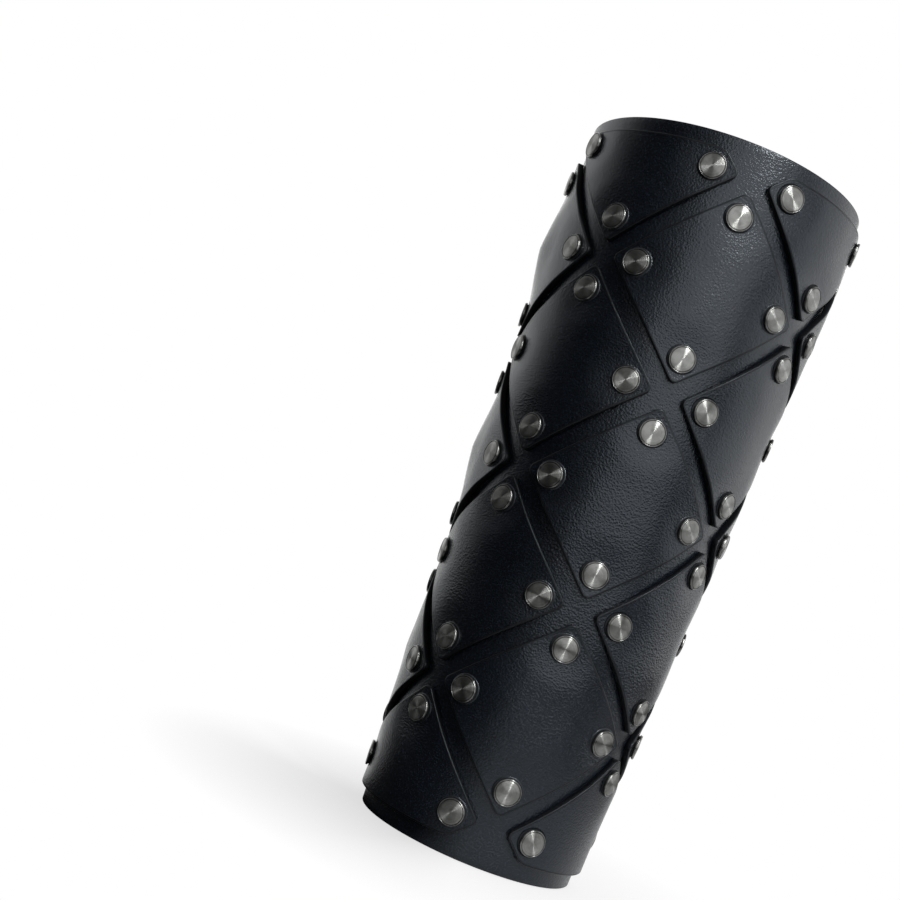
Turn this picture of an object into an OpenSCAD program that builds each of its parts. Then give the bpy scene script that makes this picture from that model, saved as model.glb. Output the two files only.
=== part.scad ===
// Laced leather bracer with riveted diamond panels.
// The tube stands on its wrist rim: its axis is Z, the panels face -Y and the lacing faces +Y.
// Angles run round the axis from the front, and positive angles are on the +X side.

/* [Leather tube] */
// Length from the wrist rim to the elbow rim
tube_length = 251; // [238:1:264]
// Outer diameter of the tube at the wrist rim
wrist_diameter = 77; // [74:0.5:82]
// Outer diameter of the tube at the elbow rim
elbow_diameter = 100; // [96:0.5:106]
// Thickness of the base leather
leather_thickness = 3; // [2:0.25:3.5]
// Angle from the front where the rims start to be cut back towards the lacing
trim_start = 104; // [98:1:110]
// How far the elbow rim is cut back at the lacing edge
elbow_cut = 24; // [16:1:28]
// How far the wrist rim is cut back at the lacing edge
wrist_cut = 33; // [30:1:34]
// Radius of the flap corners
corner_radius = 8; // [4:0.5:10]
// Gap between the lacing edges at the elbow end
elbow_gap = 39; // [34:1:44]
// Gap between the lacing edges at the wrist end
wrist_gap = 27; // [24:1:32]

/* [Diamond panels] */
// Thickness of the panel leather
panel_thickness = 2; // [1.5:0.1:2.5]
// Distance from the elbow rim to the rivets of the panels that it cuts off
elbow_row = 12.1; // [11.6:0.1:13]
// Distance from the wrist rim to the rivets of the panels that it cuts off
wrist_row = 13.9; // [13:0.1:14.5]
// Half the spacing between a column of panels and the next but one
column_pitch = 38.3; // [38:0.1:39.5]
// Width of the channel between two panels
channel_width = 6; // [5:0.25:8]
// Bare strip between the cut panels and either rim
rim_margin = 5.8; // [4:0.2:7]
// Distance from a side panel's upright rivet line to its cut edge
side_margin = 6; // [5.5:0.25:8]
// Radius of the panel corners
panel_corner = 3; // [1:0.5:4]

/* [Rivets] */
// Distance from a panel's centre to each of its rivets
rivet_reach = 24.7; // [23:0.1:25.2]
// Diameter of the domed cap
cap_diameter = 9; // [8:0.25:10]
// Height of the domed cap
cap_height = 1.8; // [1.2:0.1:2.2]
// Straight edge of the cap below its dome
cap_edge = 0.5; // [0.3:0.1:0.8]
// Outer diameter of the tubular post
post_diameter = 3.4; // [3:0.1:4]
// Bore of the tubular post
post_bore = 2.2; // [1.8:0.1:2.4]
// Diameter of the post's flange inside the tube
post_flange = 7.5; // [7:0.25:8.5]
// Thickness of the post's flange
flange_thickness = 0.7; // [0.5:0.1:1]
// Clearance between the post and its hole
hole_clearance = 0.15; // [0.1:0.05:0.3]

/* [Eyelets] */
// Number of eyelets in each flap
eyelet_count = 6; // [5:1:6]
// Distance from the lacing edge to the eyelet centres
eyelet_inset = 14.5; // [12:0.5:16]
// Distance from the flap's elbow corner down to the first eyelet
first_eyelet = 10.5; // [10:0.5:14]
// Distance from the flap's wrist corner up to the last eyelet
last_eyelet = 13.5; // [13:0.5:16]
// Diameter of the eyelet's flange
eyelet_flange = 12.5; // [11.5:0.25:13.5]
// Height of the eyelet's rolled flange
eyelet_bead = 1.2; // [1:0.1:1.6]
// Bore of the eyelet
eyelet_bore = 7.4; // [7.2:0.1:8]
// Wall of the eyelet's barrel
eyelet_wall = 0.5; // [0.4:0.1:0.6]
// Diameter of the washer
washer_diameter = 12; // [11:0.25:13]
// Thickness of the washer
washer_thickness = 0.6; // [0.5:0.1:1]

/* [Lace] */
// Width of the flat lace
lace_width = 8; // [7:0.25:8.5]
// Thickness of the flat lace
lace_thickness = 1.5; // [1.2:0.1:1.8]
// Width of the lace where an eyelet pinches it
pinched_width = 6; // [5.5:0.25:6.2]
// Space between two crossing strands of lace
crossing_gap = 1; // [0.6:0.1:1.6]
// Height of the strands above or below the leather that they lie on
lace_clearance = 0.5; // [0.4:0.1:0.8]
// Width of the knot
knot_width = 13; // [13:0.25:14]
// Depth of the knot
knot_depth = 9.5; // [9:0.25:11]
// Height of the knot
knot_height = 9; // [8:0.5:10]

/* [Hidden] */
$fn = 96;

LEATHER = "#24272c";
PANEL = "#2b2e34";
NICKEL = "#8f8c82";
CORD = "#16171a";

taper = (elbow_diameter - wrist_diameter) / 2 / tube_length;
half_cone = atan(taper);
slant = wrist_diameter / 2 / sin(half_cone);
// How far a cutting block reaches past what it cuts
overlap = 5;
// Angle that the lacing flap is seen from when its edge is drawn
flap_view = 155;
// Longest straight side of a panel's outline
longest_side = 12;

corner_low = wrist_cut;
corner_top = tube_length - elbow_cut;
eyelet_pitch = (corner_top - corner_low - first_eyelet - last_eyelet) / (eyelet_count - 1);
row_pitch = (tube_length - elbow_row - wrist_row) / 3;
diamond_reach = (norm([column_pitch, row_pitch / 2]) - channel_width) / sqrt(2);
front_rows = [for (i = [0:2]) wrist_row + (2.5 - i) * row_pitch];
outer_rows = [for (i = [0:3]) wrist_row + (3 - i) * row_pitch];

TOP = [0, rivet_reach];
BOTTOM = [0, -rivet_reach];
INNER = [-rivet_reach, 0];
OUTER = [rivet_reach, 0];
ALL_FOUR = [TOP, BOTTOM, INNER, OUTER];

barrel_radius = eyelet_bore / 2 + eyelet_wall;
barrel_clearance = 0.1;
flare_width = 1;
peg_clearance = 0.05;
peg_length = 2.5;

// Middle of the lace's thickness, and of a strand where it passes over an eyelet
half_lace = lace_thickness / 2;
outside_run = eyelet_bead + half_lace + lace_clearance;
// Distances from the eyelet at which a strand is shaped: in its mouth, beside it, and at full width
mouth_at = 0.8;
pinched_at = 3.4;
full_width_at = 8;
past_edge = 1.6;
// The knot: where the strands enter it, how its edges are rounded, and its layers of lace
knot_entry = 1.5;
knot_rounding = 0.5;
layer_pitch = 2.8;
straight_end = 1.6;

// Outer radius of the base leather at a height
function tube_radius(z) = wrist_diameter / 2 + taper * z;

// Point at an angle and a height, raised off the base leather
function polar(angle, z, off) =
    let (r = tube_radius(z) + off)
    [r * sin(angle), -r * cos(angle), z];

// Point of the flat pattern, wrapped on the cone and raised off the base leather
function wrap(p, off) =
    let (s = norm([p[0], p[1] + slant]))
    let (a = atan2(p[0], p[1] + slant) / sin(half_cone))
    let (r = s * sin(half_cone) + off)
    [r * sin(a), -r * cos(a), (s - slant) * cos(half_cone)];

// Height of an arc across a width, for a flat disc that seats inside a curved wall
function sag(radius, width) = radius - sqrt(radius * radius - width * width / 4);

function unit(v) = v / norm(v);
function quarter_turn(v) = [v[1], -v[0]];

// Arc that rounds the corner b between the points a and c of an anticlockwise outline
function corner_arc(a, b, c, radius, steps) =
    let (before = unit(b - a))
    let (after = unit(c - b))
    let (turn = acos(before * after))
    let (centre = b - before * radius * tan(turn / 2) - quarter_turn(before) * radius)
    let (start = atan2(-before[0], before[1]))
    [for (k = [0:steps])
        let (at = start + turn * k / steps)
        centre + radius * [cos(at), sin(at)]];

// Convex anticlockwise outline with every corner rounded
function rounded(points, radius) =
    let (n = len(points))
    [for (i = [0:n - 1])
        each corner_arc(points[(i + n - 1) % n], points[i], points[(i + 1) % n], radius, 3)];

// Layer on the cone between two heights off the base leather and two heights above the floor
module leather_layer(inner, outer, low, high) {
    rotate_extrude()
        polygon([
            [tube_radius(low) + inner, low],
            [tube_radius(low) + outer, low],
            [tube_radius(high) + outer, high],
            [tube_radius(high) + inner, high]
        ]);
}

// Places its children on the leather with +Z pointing straight out of it
module on_leather(position) {
    translate(position)
        rotate([0, 0, atan2(position[0], -position[1])])
        rotate([90 + half_cone, 0, 0])
        children();
}

// Outline with its long sides split, so that it follows the leather when it is wrapped
function refined(outline) =
    let (n = len(outline))
    [for (i = [0:n - 1])
        let (side = outline[(i + 1) % n] - outline[i])
        let (parts = ceil(norm(side) / longest_side))
        for (k = [0:parts - 1]) outline[i] + side * k / parts];

// Where a point lies in a straight view of the tube from an angle
function seen_from(angle, p) = [p[0] * cos(angle) + p[1] * sin(angle), p[2]];

// Block that reaches out from near the axis, with an outline drawn as it is seen from an angle
module straight_block(angle, outline) {
    rotate([90, 0, angle])
        translate([0, 0, overlap])
        linear_extrude(elbow_diameter)
        polygon(outline);
}

// Angle round the tube that an arc on the leather takes up at a height
function arc_angle(arc, z) = arc / tube_radius(z) * 180 / PI;

// Distance on the leather from the back's middle to the flap's edge, at the two flap corners
function gap_arc(gap, z) = asin(gap / 2 / tube_radius(z)) * PI / 180 * tube_radius(z);

// Edge of the +X flap: pairs of a height and the distance from the back's middle on the leather
function flap_edge() =
    let (low = [-gap_arc(wrist_gap, corner_low), corner_low])
    let (top = [-gap_arc(elbow_gap, corner_top), corner_top])
    let (low_trim = [-(180 - trim_start) * PI / 180 * tube_radius(0), 0])
    let (top_trim = [-(180 - trim_start) * PI / 180 * tube_radius(tube_length), tube_length])
    let (low_end = low_trim + (low_trim - low) * overlap / corner_low)
    let (top_end = top_trim + (top_trim - top) * overlap / elbow_cut)
    let (low_arc = corner_arc(low_trim, low, top, corner_radius, 5))
    let (top_arc = corner_arc(low, top, top_trim, corner_radius, 5))
    [for (p = concat([low_end], low_arc, top_arc, [top_end])) [p[1], -p[0]]];

// Half of the open angle at the back, at a height
function open_angle(z) = arc_angle(lookup(z, flap_edge()), z);

// Heights at which the flap's edge is drawn
function edge_heights() =
    let (edge = flap_edge())
    let (n = len(edge))
    let (low_span = edge[1][0] - edge[0][0])
    let (top_span = edge[n - 1][0] - edge[n - 2][0])
    concat(
        [for (i = [0:6]) edge[0][0] + low_span * i / 7],
        [for (i = [1:n - 2]) edge[i][0]],
        [for (i = [1:7]) edge[n - 2][0] + top_span * i / 7]
    );

// What is cut away beside the +X flap, as far as the back's middle
module lacing_gap() {
    heights = edge_heights();
    last = len(heights) - 1;
    straight_block(flap_view, concat(
        [for (z = heights) seen_from(flap_view, polar(180 - open_angle(z), z, 0))],
        [for (z = [heights[last], heights[0]]) seen_from(flap_view, polar(180 + overlap, z, 0))]
    ));
}

// Angle of an eyelet from the front, on the +X side
function eyelet_height(i) = corner_top - first_eyelet - i * eyelet_pitch;
function eyelet_angle(z) = 180 - open_angle(z) - arc_angle(eyelet_inset, z);

// Flat pattern points of one panel's rivets
function rivets_at(column, row, places) =
    [for (p = places) [column * column_pitch, row] + p];

function front_rivets() = [for (row = front_rows) each rivets_at(0, row, ALL_FOUR)];
function outer_rivets() = concat(
    rivets_at(1, outer_rows[0], [BOTTOM, INNER, OUTER]),
    rivets_at(1, outer_rows[1], ALL_FOUR),
    rivets_at(1, outer_rows[2], ALL_FOUR),
    rivets_at(1, outer_rows[3], [TOP, INNER, OUTER])
);
function side_rivets() = [for (row = front_rows) each rivets_at(2, row, [TOP, BOTTOM, INNER])];

// Shows its children on the right, or mirrored on the left
module on_side(side) {
    if (side == "right") children();
    else mirror([1, 0, 0]) children();
}

module base_leather() {
    color(LEATHER)
    difference() {
        leather_layer(-leather_thickness, 0, 0, tube_length);
        for (side = ["left", "right"]) on_side(side) {
            lacing_gap();
            rivet_holes(concat(outer_rivets(), side_rivets()));
            for (i = [0:eyelet_count - 1])
                on_leather(polar(eyelet_angle(eyelet_height(i)), eyelet_height(i), 0))
                cylinder(r = barrel_radius + barrel_clearance, h = 4 * overlap, center = true);
        }
        rivet_holes(front_rivets());
    }
}

module rivet_holes(points) {
    for (p = points)
        on_leather(wrap(p, 0))
        cylinder(d = post_diameter + 2 * hole_clearance, h = 4 * overlap, center = true);
}

// One riveted panel: a diamond, whose side nearest the lacing can be cut off
module panel(column, row, places, cut = false) {
    centre = [column * column_pitch, row];
    middle = wrap(centre, 0);
    view = atan2(middle[0], -middle[1]);
    reach = diamond_reach;
    step = reach - side_margin;
    diamond = [[reach, 0], [0, reach], [-reach, 0], [0, -reach]];
    cut_diamond = [[side_margin, -step], [side_margin, step], [0, reach], [-reach, 0], [0, -reach]];
    corners = [for (p = cut ? cut_diamond : diamond) centre + p];
    outline = refined(rounded(corners, panel_corner));
    color(PANEL)
    difference() {
        intersection() {
            leather_layer(0, panel_thickness, rim_margin, tube_length - rim_margin);
            straight_block(view, [for (p = outline) seen_from(view, wrap(p, 0))]);
        }
        rivet_holes(rivets_at(column, row, places));
    }
}

module front_panel_top() panel(0, front_rows[0], ALL_FOUR);
module front_panel_middle() panel(0, front_rows[1], ALL_FOUR);
module front_panel_bottom() panel(0, front_rows[2], ALL_FOUR);

module outer_panel_elbow(side) on_side(side) panel(1, outer_rows[0], [BOTTOM, INNER, OUTER]);
module outer_panel_upper(side) on_side(side) panel(1, outer_rows[1], ALL_FOUR);
module outer_panel_lower(side) on_side(side) panel(1, outer_rows[2], ALL_FOUR);
module outer_panel_wrist(side) on_side(side) panel(1, outer_rows[3], [TOP, INNER, OUTER]);

module side_panel(side, i) on_side(side) panel(2, front_rows[i], [TOP, BOTTOM, INNER], true);

// Domed cap with the peg that is set into its post
module rivet_caps(points) {
    dome = cap_height - cap_edge;
    dome_radius = (cap_diameter * cap_diameter / 4 + dome * dome) / 2 / dome;
    color(NICKEL)
    for (p = points)
        on_leather(wrap(p, 0))
        translate([0, 0, panel_thickness]) {
            cylinder(d = cap_diameter, h = cap_edge);
            intersection() {
                translate([0, 0, cap_height - dome_radius]) sphere(dome_radius);
                cylinder(d = cap_diameter, h = cap_height);
            }
            translate([0, 0, -peg_length])
                cylinder(d = post_bore - 2 * peg_clearance, h = peg_length + cap_edge / 2);
        }
}

// Tubular post with its open flange inside the tube
module rivet_posts(points) {
    color(NICKEL)
    for (p = points) {
        seat = sag(tube_radius(p[1]) - leather_thickness, post_flange);
        bottom = -leather_thickness - seat - flange_thickness;
        on_leather(wrap(p, 0))
        difference() {
            union() {
                translate([0, 0, bottom]) cylinder(d = post_flange, h = flange_thickness);
                translate([0, 0, bottom])
                    cylinder(d = post_diameter, h = panel_thickness - peg_clearance - bottom);
            }
            translate([0, 0, bottom - overlap]) cylinder(d = post_bore, h = 4 * overlap);
        }
    }
}

// Depth below the leather's outer face at which an eyelet's washer starts
function washer_seat(z) =
    leather_thickness + sag(tube_radius(z) - leather_thickness, washer_diameter);

// Rolled flange outside, barrel through the leather and flare over the washer
module eyelets(side) {
    bead = (eyelet_flange - eyelet_bore) / 4;
    color(NICKEL)
    on_side(side)
    for (i = [0:eyelet_count - 1]) {
        z = eyelet_height(i);
        flare = -washer_seat(z) - washer_thickness;
        on_leather(polar(eyelet_angle(z), z, 0))
        rotate_extrude()
            polygon(concat(
                [for (a = [0:22.5:180])
                    [eyelet_bore / 2 + bead + bead * cos(a), eyelet_bead * sin(a)]],
                [
                    [eyelet_bore / 2, flare - eyelet_wall],
                    [barrel_radius + flare_width, flare - eyelet_wall],
                    [barrel_radius + flare_width, flare],
                    [barrel_radius, flare],
                    [barrel_radius, 0]
                ]
            ));
    }
}

module eyelet_washers(side) {
    color(NICKEL)
    on_side(side)
    for (i = [0:eyelet_count - 1]) {
        z = eyelet_height(i);
        on_leather(polar(eyelet_angle(z), z, 0))
        translate([0, 0, -washer_seat(z) - washer_thickness])
        difference() {
            cylinder(d = washer_diameter, h = washer_thickness);
            translate([0, 0, -overlap])
                cylinder(r = barrel_radius + barrel_clearance, h = 2 * overlap);
        }
    }
}

// Middle of the knot, which hangs in front of the gap beside the last eyelets
knot_height_up = eyelet_height(eyelet_count - 1) - 0.5;
knot_centre = [-1, tube_radius(knot_height_up) + 3.4, knot_height_up];

// The bow's loops and ends, set by hand from the knot's middle: places and width directions
UPPER_LOOP = [
    [[-1.6, 0.8, 12], [1, 0, 0]], [[-1.3, 2, 22], [1, 0, 0]], [[-1.6, 3.1, 34], [1, 0, -0.05]],
    [[-2.4, 3.7, 43], [1, 0, -0.1]], [[-2.7, 4.1, 46.3], [1, 0, -0.1]],
    [[-2.8, 5.9, 48.2], [1, 0, -0.1]], [[-2.8, 7.7, 46.3], [1, 0, -0.1]],
    [[-2.5, 8.1, 42.5], [1, 0, -0.1]], [[-1.7, 7.5, 33], [1, 0, -0.05]],
    [[-1.3, 6, 22], [1, 0, 0]], [[-1.6, 4.3, 12], [1, 0, 0]]
];
UPPER_END = [
    [[-4.8, -2.3, 11], [1, 0, 0.3]], [[-9, -1.4, 18], [1, 0.1, 0.5]],
    [[-13.5, 0.6, 25.5], [1, 0.3, 0.6]], [[-17.4, 0.8, 34], [1, 0.4, 0.6]],
    [[-21, 0.2, 43.8], [1, 0.5, 0.6]]
];
LOWER_LOOP = [
    [[0.4, -0.8, -12], [1, 0.1, 0.1]], [[1.6, -3, -18], [0.9, 0.4, 0.3]],
    [[3.6, -5.4, -24], [0.75, 0.65, 0.3]], [[6.6, -7.8, -29], [0.6, 0.75, 0.3]],
    [[10.4, -10.6, -32], [0.5, 0.8, 0.15]], [[14.2, -14.4, -32.2], [0.4, 0.9, 0]],
    [[17.4, -17.6, -29.4], [0.45, 0.85, -0.2]], [[18.6, -18.6, -24.4], [0.5, 0.8, -0.2]],
    [[17.2, -17.9, -18.4], [0.5, 0.8, -0.1]], [[13.6, -15.4, -13.4], [0.55, 0.7, 0.2]],
    [[8.8, -11.6, -10.6], [0.55, 0.65, 0.4]], [[4.4, -7.2, -9.4], [0.6, 0.5, 0.5]],
    [[1.4, -4.4, -7.8], [0.8, 0.35, 0.5]]
];
LOWER_END = [
    [[0.8, 3.2, -11], [1, 0, 0]], [[1.8, 3.4, -18], [1, 0, 0.1]],
    [[3.8, 2.9, -28], [1, -0.1, 0.2]], [[6.8, 1.4, -40], [1, -0.1, 0.3]]
];

// Ring of the flat lace: a thin rectangle with rounded edges
function lace_ring(place, across, out, width) =
    let (w = width / 2)
    let (t = lace_thickness / 2)
    [for (c = [[w, t / 3], [w - t, t], [t - w, t], [-w, t / 3],
            [-w, -t / 3], [t - w, -t], [w - t, -t], [w, -t / 3]])
        place + across * c[0] + out * c[1]];

// Rings along stations, each of which is a place, the direction of the width, and the width
function lace_rings(stations) =
    let (n = len(stations))
    [for (i = [0:n - 1])
        let (ahead = unit(stations[min(i + 1, n - 1)][0] - stations[max(i - 1, 0)][0]))
        let (out = unit(cross(ahead, stations[i][1])))
        lace_ring(stations[i][0], cross(out, ahead), out, stations[i][2])];

// Solid through rings of equal size, which run anticlockwise as seen from the last one
module loft(rings) {
    sides = len(rings[0]);
    last = len(rings) - 1;
    skin = [for (i = [0:last - 1]) for (k = [0:sides - 1])
        let (a = i * sides + k)
        let (b = i * sides + (k + 1) % sides)
        each [[a, b + sides, b], [a, a + sides, b + sides]]];
    start = [for (k = [0:sides - 1]) k];
    end = [for (k = [sides - 1:-1:0]) last * sides + k];
    polyhedron(points = [for (ring = rings) each ring], faces = concat([start], skin, [end]));
}

// Where a strand runs on a flap: a distance from its eyelet towards the lacing, along a slope
function run_place(side, i, along, slope, off) =
    let (z = eyelet_height(i) + along * sin(slope))
    polar(side * (eyelet_angle(eyelet_height(i)) + arc_angle(along * cos(slope), z)), z, off);

// Direction of the width of a strand that runs towards the lacing on a flap, along a slope
function run_width(side, i, slope) =
    let (a = side * eyelet_angle(eyelet_height(i)))
    let (ahead = side * cos(slope) * [cos(a), sin(a), 0] + [0, 0, sin(slope)])
    unit(cross([sin(a), -cos(a), 0], ahead));

// Slope of a strand between one eyelet and the next below it
function run_slope(i) =
    let (z = eyelet_height(i))
    atan(eyelet_pitch / (2 * (180 - eyelet_angle(z)) * PI / 180 * tube_radius(z)));

// Middle of the lace below the washer and the flare, when it runs to the eyelet
function inside_run(i) =
    -washer_seat(eyelet_height(i)) - washer_thickness - eyelet_wall - half_lace - lace_clearance;

// Stations under a flap, from beyond its edge to the eyelet
function strand_in(side, i, slope, face) =
    let (w = -face * run_width(side, i, slope))
    let (beyond = eyelet_inset / cos(slope) + past_edge)
    [
        [run_place(side, i, beyond, slope, -leather_thickness - half_lace - lace_clearance),
            w, lace_width],
        [run_place(side, i, full_width_at, slope, inside_run(i) + 0.4), w, lace_width],
        [run_place(side, i, pinched_at, slope, inside_run(i)), w, pinched_width],
        [run_place(side, i, mouth_at, slope, inside_run(i) + 0.8), w, pinched_width]
    ];

// Stations over a flap, from the eyelet to a distance from it
function strand_out(side, i, slope, face, beyond) =
    let (w = face * run_width(side, i, slope))
    [
        [run_place(side, i, mouth_at, slope, outside_run - 0.8), w, pinched_width],
        [run_place(side, i, pinched_at, slope, outside_run + 0.1), w, pinched_width],
        [run_place(side, i, full_width_at, slope, outside_run - 0.3), w, lace_width],
        [run_place(side, i, beyond, slope, half_lace + lace_clearance), w, lace_width]
    ];

// Station in the bore, where the lace turns from its run inside to its run outside
function strand_through(side, i, slope_in, slope_out, face) =
    let (w = unit(run_width(side, i, slope_out) + run_width(side, i, slope_in)))
    [[run_place(side, i, 0, 0, -leather_thickness / 2), face * w, pinched_width]];

// Stations from one eyelet to the next, which is in the other flap
function strand_crossing(at, i, face) =
    let (slope = run_slope(i))
    let (start = strand_out(at, i, -slope, face, eyelet_inset / cos(slope) + past_edge))
    let (end = strand_in(-at, i + 1, slope, face))
    let (lift = at * (lace_thickness + crossing_gap) / 2)
    let (middle = (start[3][0] + end[0][0]) / 2 + [0, lift, 0])
    concat(start, [[middle, start[3][1] + end[0][1], lace_width]], end);

// Stations from the last eyelet over the flap to the knot
function strand_to_knot(at, i, face) =
    let (start = strand_out(at, i, 0, face, eyelet_inset - past_edge))
    let (side = knot_centre + at * [knot_width / 2, 0, 0] - [0, knot_entry, 0])
    concat(start, [for (d = [straight_end, 0])
        [side + [at * d, 0, 0], start[3][1][2] * [0, 0, 1], lace_width]]);

// One strand from the middle of the top bar down to the knot: side is where it starts.
// The strand that starts a crossing on the +X side passes over the other.
function strand(side) =
    let (last = eyelet_count - 1)
    let (bar = strand_in(side, 0, 0, -side))
    concat(
        [for (t = [0, 0.6]) [[t * bar[2][0][0], bar[2][0][1], bar[2][0][2]], [0, 0, 1], lace_width]],
        [bar[2], bar[3]],
        [for (i = [0:last])
            let (at = i % 2 == 0 ? side : -side)
            let (face = i % 2 == 0 ? side : -side)
            let (slope_in = i == 0 ? 0 : run_slope(i - 1))
            let (slope_out = i == last ? 0 : -run_slope(i))
            each concat(
                strand_through(at, i, slope_in, slope_out, face),
                i == last ? strand_to_knot(at, i, face) : strand_crossing(at, i, face)
            )]
    );

function lace_stations() =
    let (one = strand(1))
    let (other = strand(-1))
    concat(
        [for (i = [len(one) - 1:-1:0]) one[i]],
        [for (i = [1:len(other) - 1]) other[i]]
    );

// Length along the middle of stations
function run_length(stations) =
    let (steps = [for (i = [1:len(stations) - 1]) norm(stations[i][0] - stations[i - 1][0])])
    steps * [for (step = steps) 1];

// Stations of a stretch of the bow that starts, and may end, on the knot. A stretch starts at a
// distance to the side and in a layer of the knot, on its upper or lower flat.
function knot_stub(aside, layer, up, d) =
    [knot_centre + [aside, layer * layer_pitch, up * (knot_height / 2 + d)], [1, 0, 0], lace_width];

function bow_stations(stretch, aside, up, layer, last_layer) = concat(
    [knot_stub(aside, layer, up, 0), knot_stub(aside, layer, up, straight_end)],
    [for (s = stretch) [knot_centre + s[0], s[1], lace_width]],
    last_layer == undef ? [] : [
        knot_stub(aside, last_layer, up, straight_end),
        knot_stub(aside, last_layer, up, 0)
    ]
);

function upper_loop() = bow_stations(UPPER_LOOP, -1.8, 1, 0, 1);
function upper_end() = bow_stations(UPPER_END, -2.2, 1, -1, undef);
function lower_loop() = bow_stations(LOWER_LOOP, 0, -1, 0, -1);
function lower_end() = bow_stations(LOWER_END, 0.5, -1, 1, undef);

module run_of_lace(stations) {
    color(CORD) loft(lace_rings(stations));
}

module bow_knot() {
    size = [knot_width, knot_depth, knot_height];
    color(CORD)
    translate(knot_centre)
    intersection() {
        cube(size, center = true);
        rotate([0, 90, 0])
            cylinder(r = norm([size[1], size[2]]) / 2 - knot_rounding, h = 2 * size[0], center = true);
        cylinder(r = norm([size[0], size[1]]) / 2 - knot_rounding, h = 2 * size[2], center = true);
    }
}

echo(
    lace = run_length(lace_stations()),
    upper_loop = run_length(upper_loop()),
    lower_loop = run_length(lower_loop()),
    upper_end = run_length(upper_end()),
    lower_end = run_length(lower_end())
);

base_leather();
front_panel_top();
front_panel_middle();
front_panel_bottom();
outer_panel_elbow("left");  // left_panel_elbow
outer_panel_upper("left");  // left_panel_upper
outer_panel_lower("left");  // left_panel_lower
outer_panel_wrist("left");  // left_panel_wrist
outer_panel_elbow("right");  // right_panel_elbow
outer_panel_upper("right");  // right_panel_upper
outer_panel_lower("right");  // right_panel_lower
outer_panel_wrist("right");  // right_panel_wrist
side_panel("left", 0);  // left_side_panel_top
side_panel("left", 1);  // left_side_panel_middle
side_panel("left", 2);  // left_side_panel_bottom
side_panel("right", 0);  // right_side_panel_top
side_panel("right", 1);  // right_side_panel_middle
side_panel("right", 2);  // right_side_panel_bottom
rivet_caps(front_rivets());  // front_rivet_caps
on_side("left") rivet_caps(outer_rivets());  // left_rivet_caps
on_side("right") rivet_caps(outer_rivets());  // right_rivet_caps
on_side("left") rivet_caps(side_rivets());  // left_side_rivet_caps
on_side("right") rivet_caps(side_rivets());  // right_side_rivet_caps
rivet_posts(front_rivets());  // front_rivet_posts
on_side("left") rivet_posts(outer_rivets());  // left_rivet_posts
on_side("right") rivet_posts(outer_rivets());  // right_rivet_posts
on_side("left") rivet_posts(side_rivets());  // left_side_rivet_posts
on_side("right") rivet_posts(side_rivets());  // right_side_rivet_posts
eyelets("left");  // left_eyelets
eyelets("right");  // right_eyelets
eyelet_washers("left");  // left_eyelet_washers
eyelet_washers("right");  // right_eyelet_washers
run_of_lace(lace_stations());  // lace
bow_knot();
run_of_lace(upper_loop());  // bow_upper_loop
run_of_lace(lower_loop());  // bow_lower_loop
run_of_lace(upper_end());  // lace_upper_end
run_of_lace(lower_end());  // lace_lower_end
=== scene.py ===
"""Looks of the laced leather bracer, made over its packed CAD frame.

The tube stands on its wrist rim. Its axis is Z, the panels face -Y and the lacing faces +Y.
Everything is in metres. Angles run round the axis from the front, positive towards +X.
"""

import math
from functools import partial

import bmesh
import bpy
from bpy.props import FloatProperty, FloatVectorProperty, IntProperty, PointerProperty
from mathutils import Matrix, Quaternion, Vector, noise


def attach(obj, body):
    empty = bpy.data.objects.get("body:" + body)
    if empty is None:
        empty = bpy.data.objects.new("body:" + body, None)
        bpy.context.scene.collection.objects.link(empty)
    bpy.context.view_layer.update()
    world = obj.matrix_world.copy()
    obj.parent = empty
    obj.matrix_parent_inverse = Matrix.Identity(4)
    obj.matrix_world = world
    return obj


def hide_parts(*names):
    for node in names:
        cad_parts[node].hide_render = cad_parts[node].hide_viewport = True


bl_info = {
    "name": "Laced leather bracer",
    "version": (1, 0, 0),
    "blender": (4, 5, 0),
    "location": "3D View > Sidebar > Bracer",
    "description": "Makes the leather, panels, rivets, eyelets, lace and bow of a bracer",
    "category": "Add Mesh",
}

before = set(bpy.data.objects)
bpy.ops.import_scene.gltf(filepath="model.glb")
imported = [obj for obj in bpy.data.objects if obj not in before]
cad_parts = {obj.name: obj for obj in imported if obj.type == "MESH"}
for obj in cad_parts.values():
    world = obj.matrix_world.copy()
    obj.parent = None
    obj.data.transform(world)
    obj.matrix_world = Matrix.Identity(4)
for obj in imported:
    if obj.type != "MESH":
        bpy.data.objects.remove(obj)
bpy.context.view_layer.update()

MM = 0.001


def linear(hex_colour):
    """Linear red, green, blue and alpha of an sRGB colour written as #rrggbb."""
    parts = [int(hex_colour[i : i + 2], 16) / 255 for i in (1, 3, 5)]
    return (*[c / 12.92 if c <= 0.04045 else ((c + 0.055) / 1.055) ** 2.4 for c in parts], 1.0)


def length_property(name, description, default):
    """A size of the object, given in millimetres."""
    return FloatProperty(
        name=name, description=description, default=default * MM, unit="LENGTH", precision=4
    )


def colour_property(name, description, default):
    return FloatVectorProperty(
        name=name, description=description, default=linear(default), subtype="COLOR",
        size=4, min=0, max=1,
    )


# Settings


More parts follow.
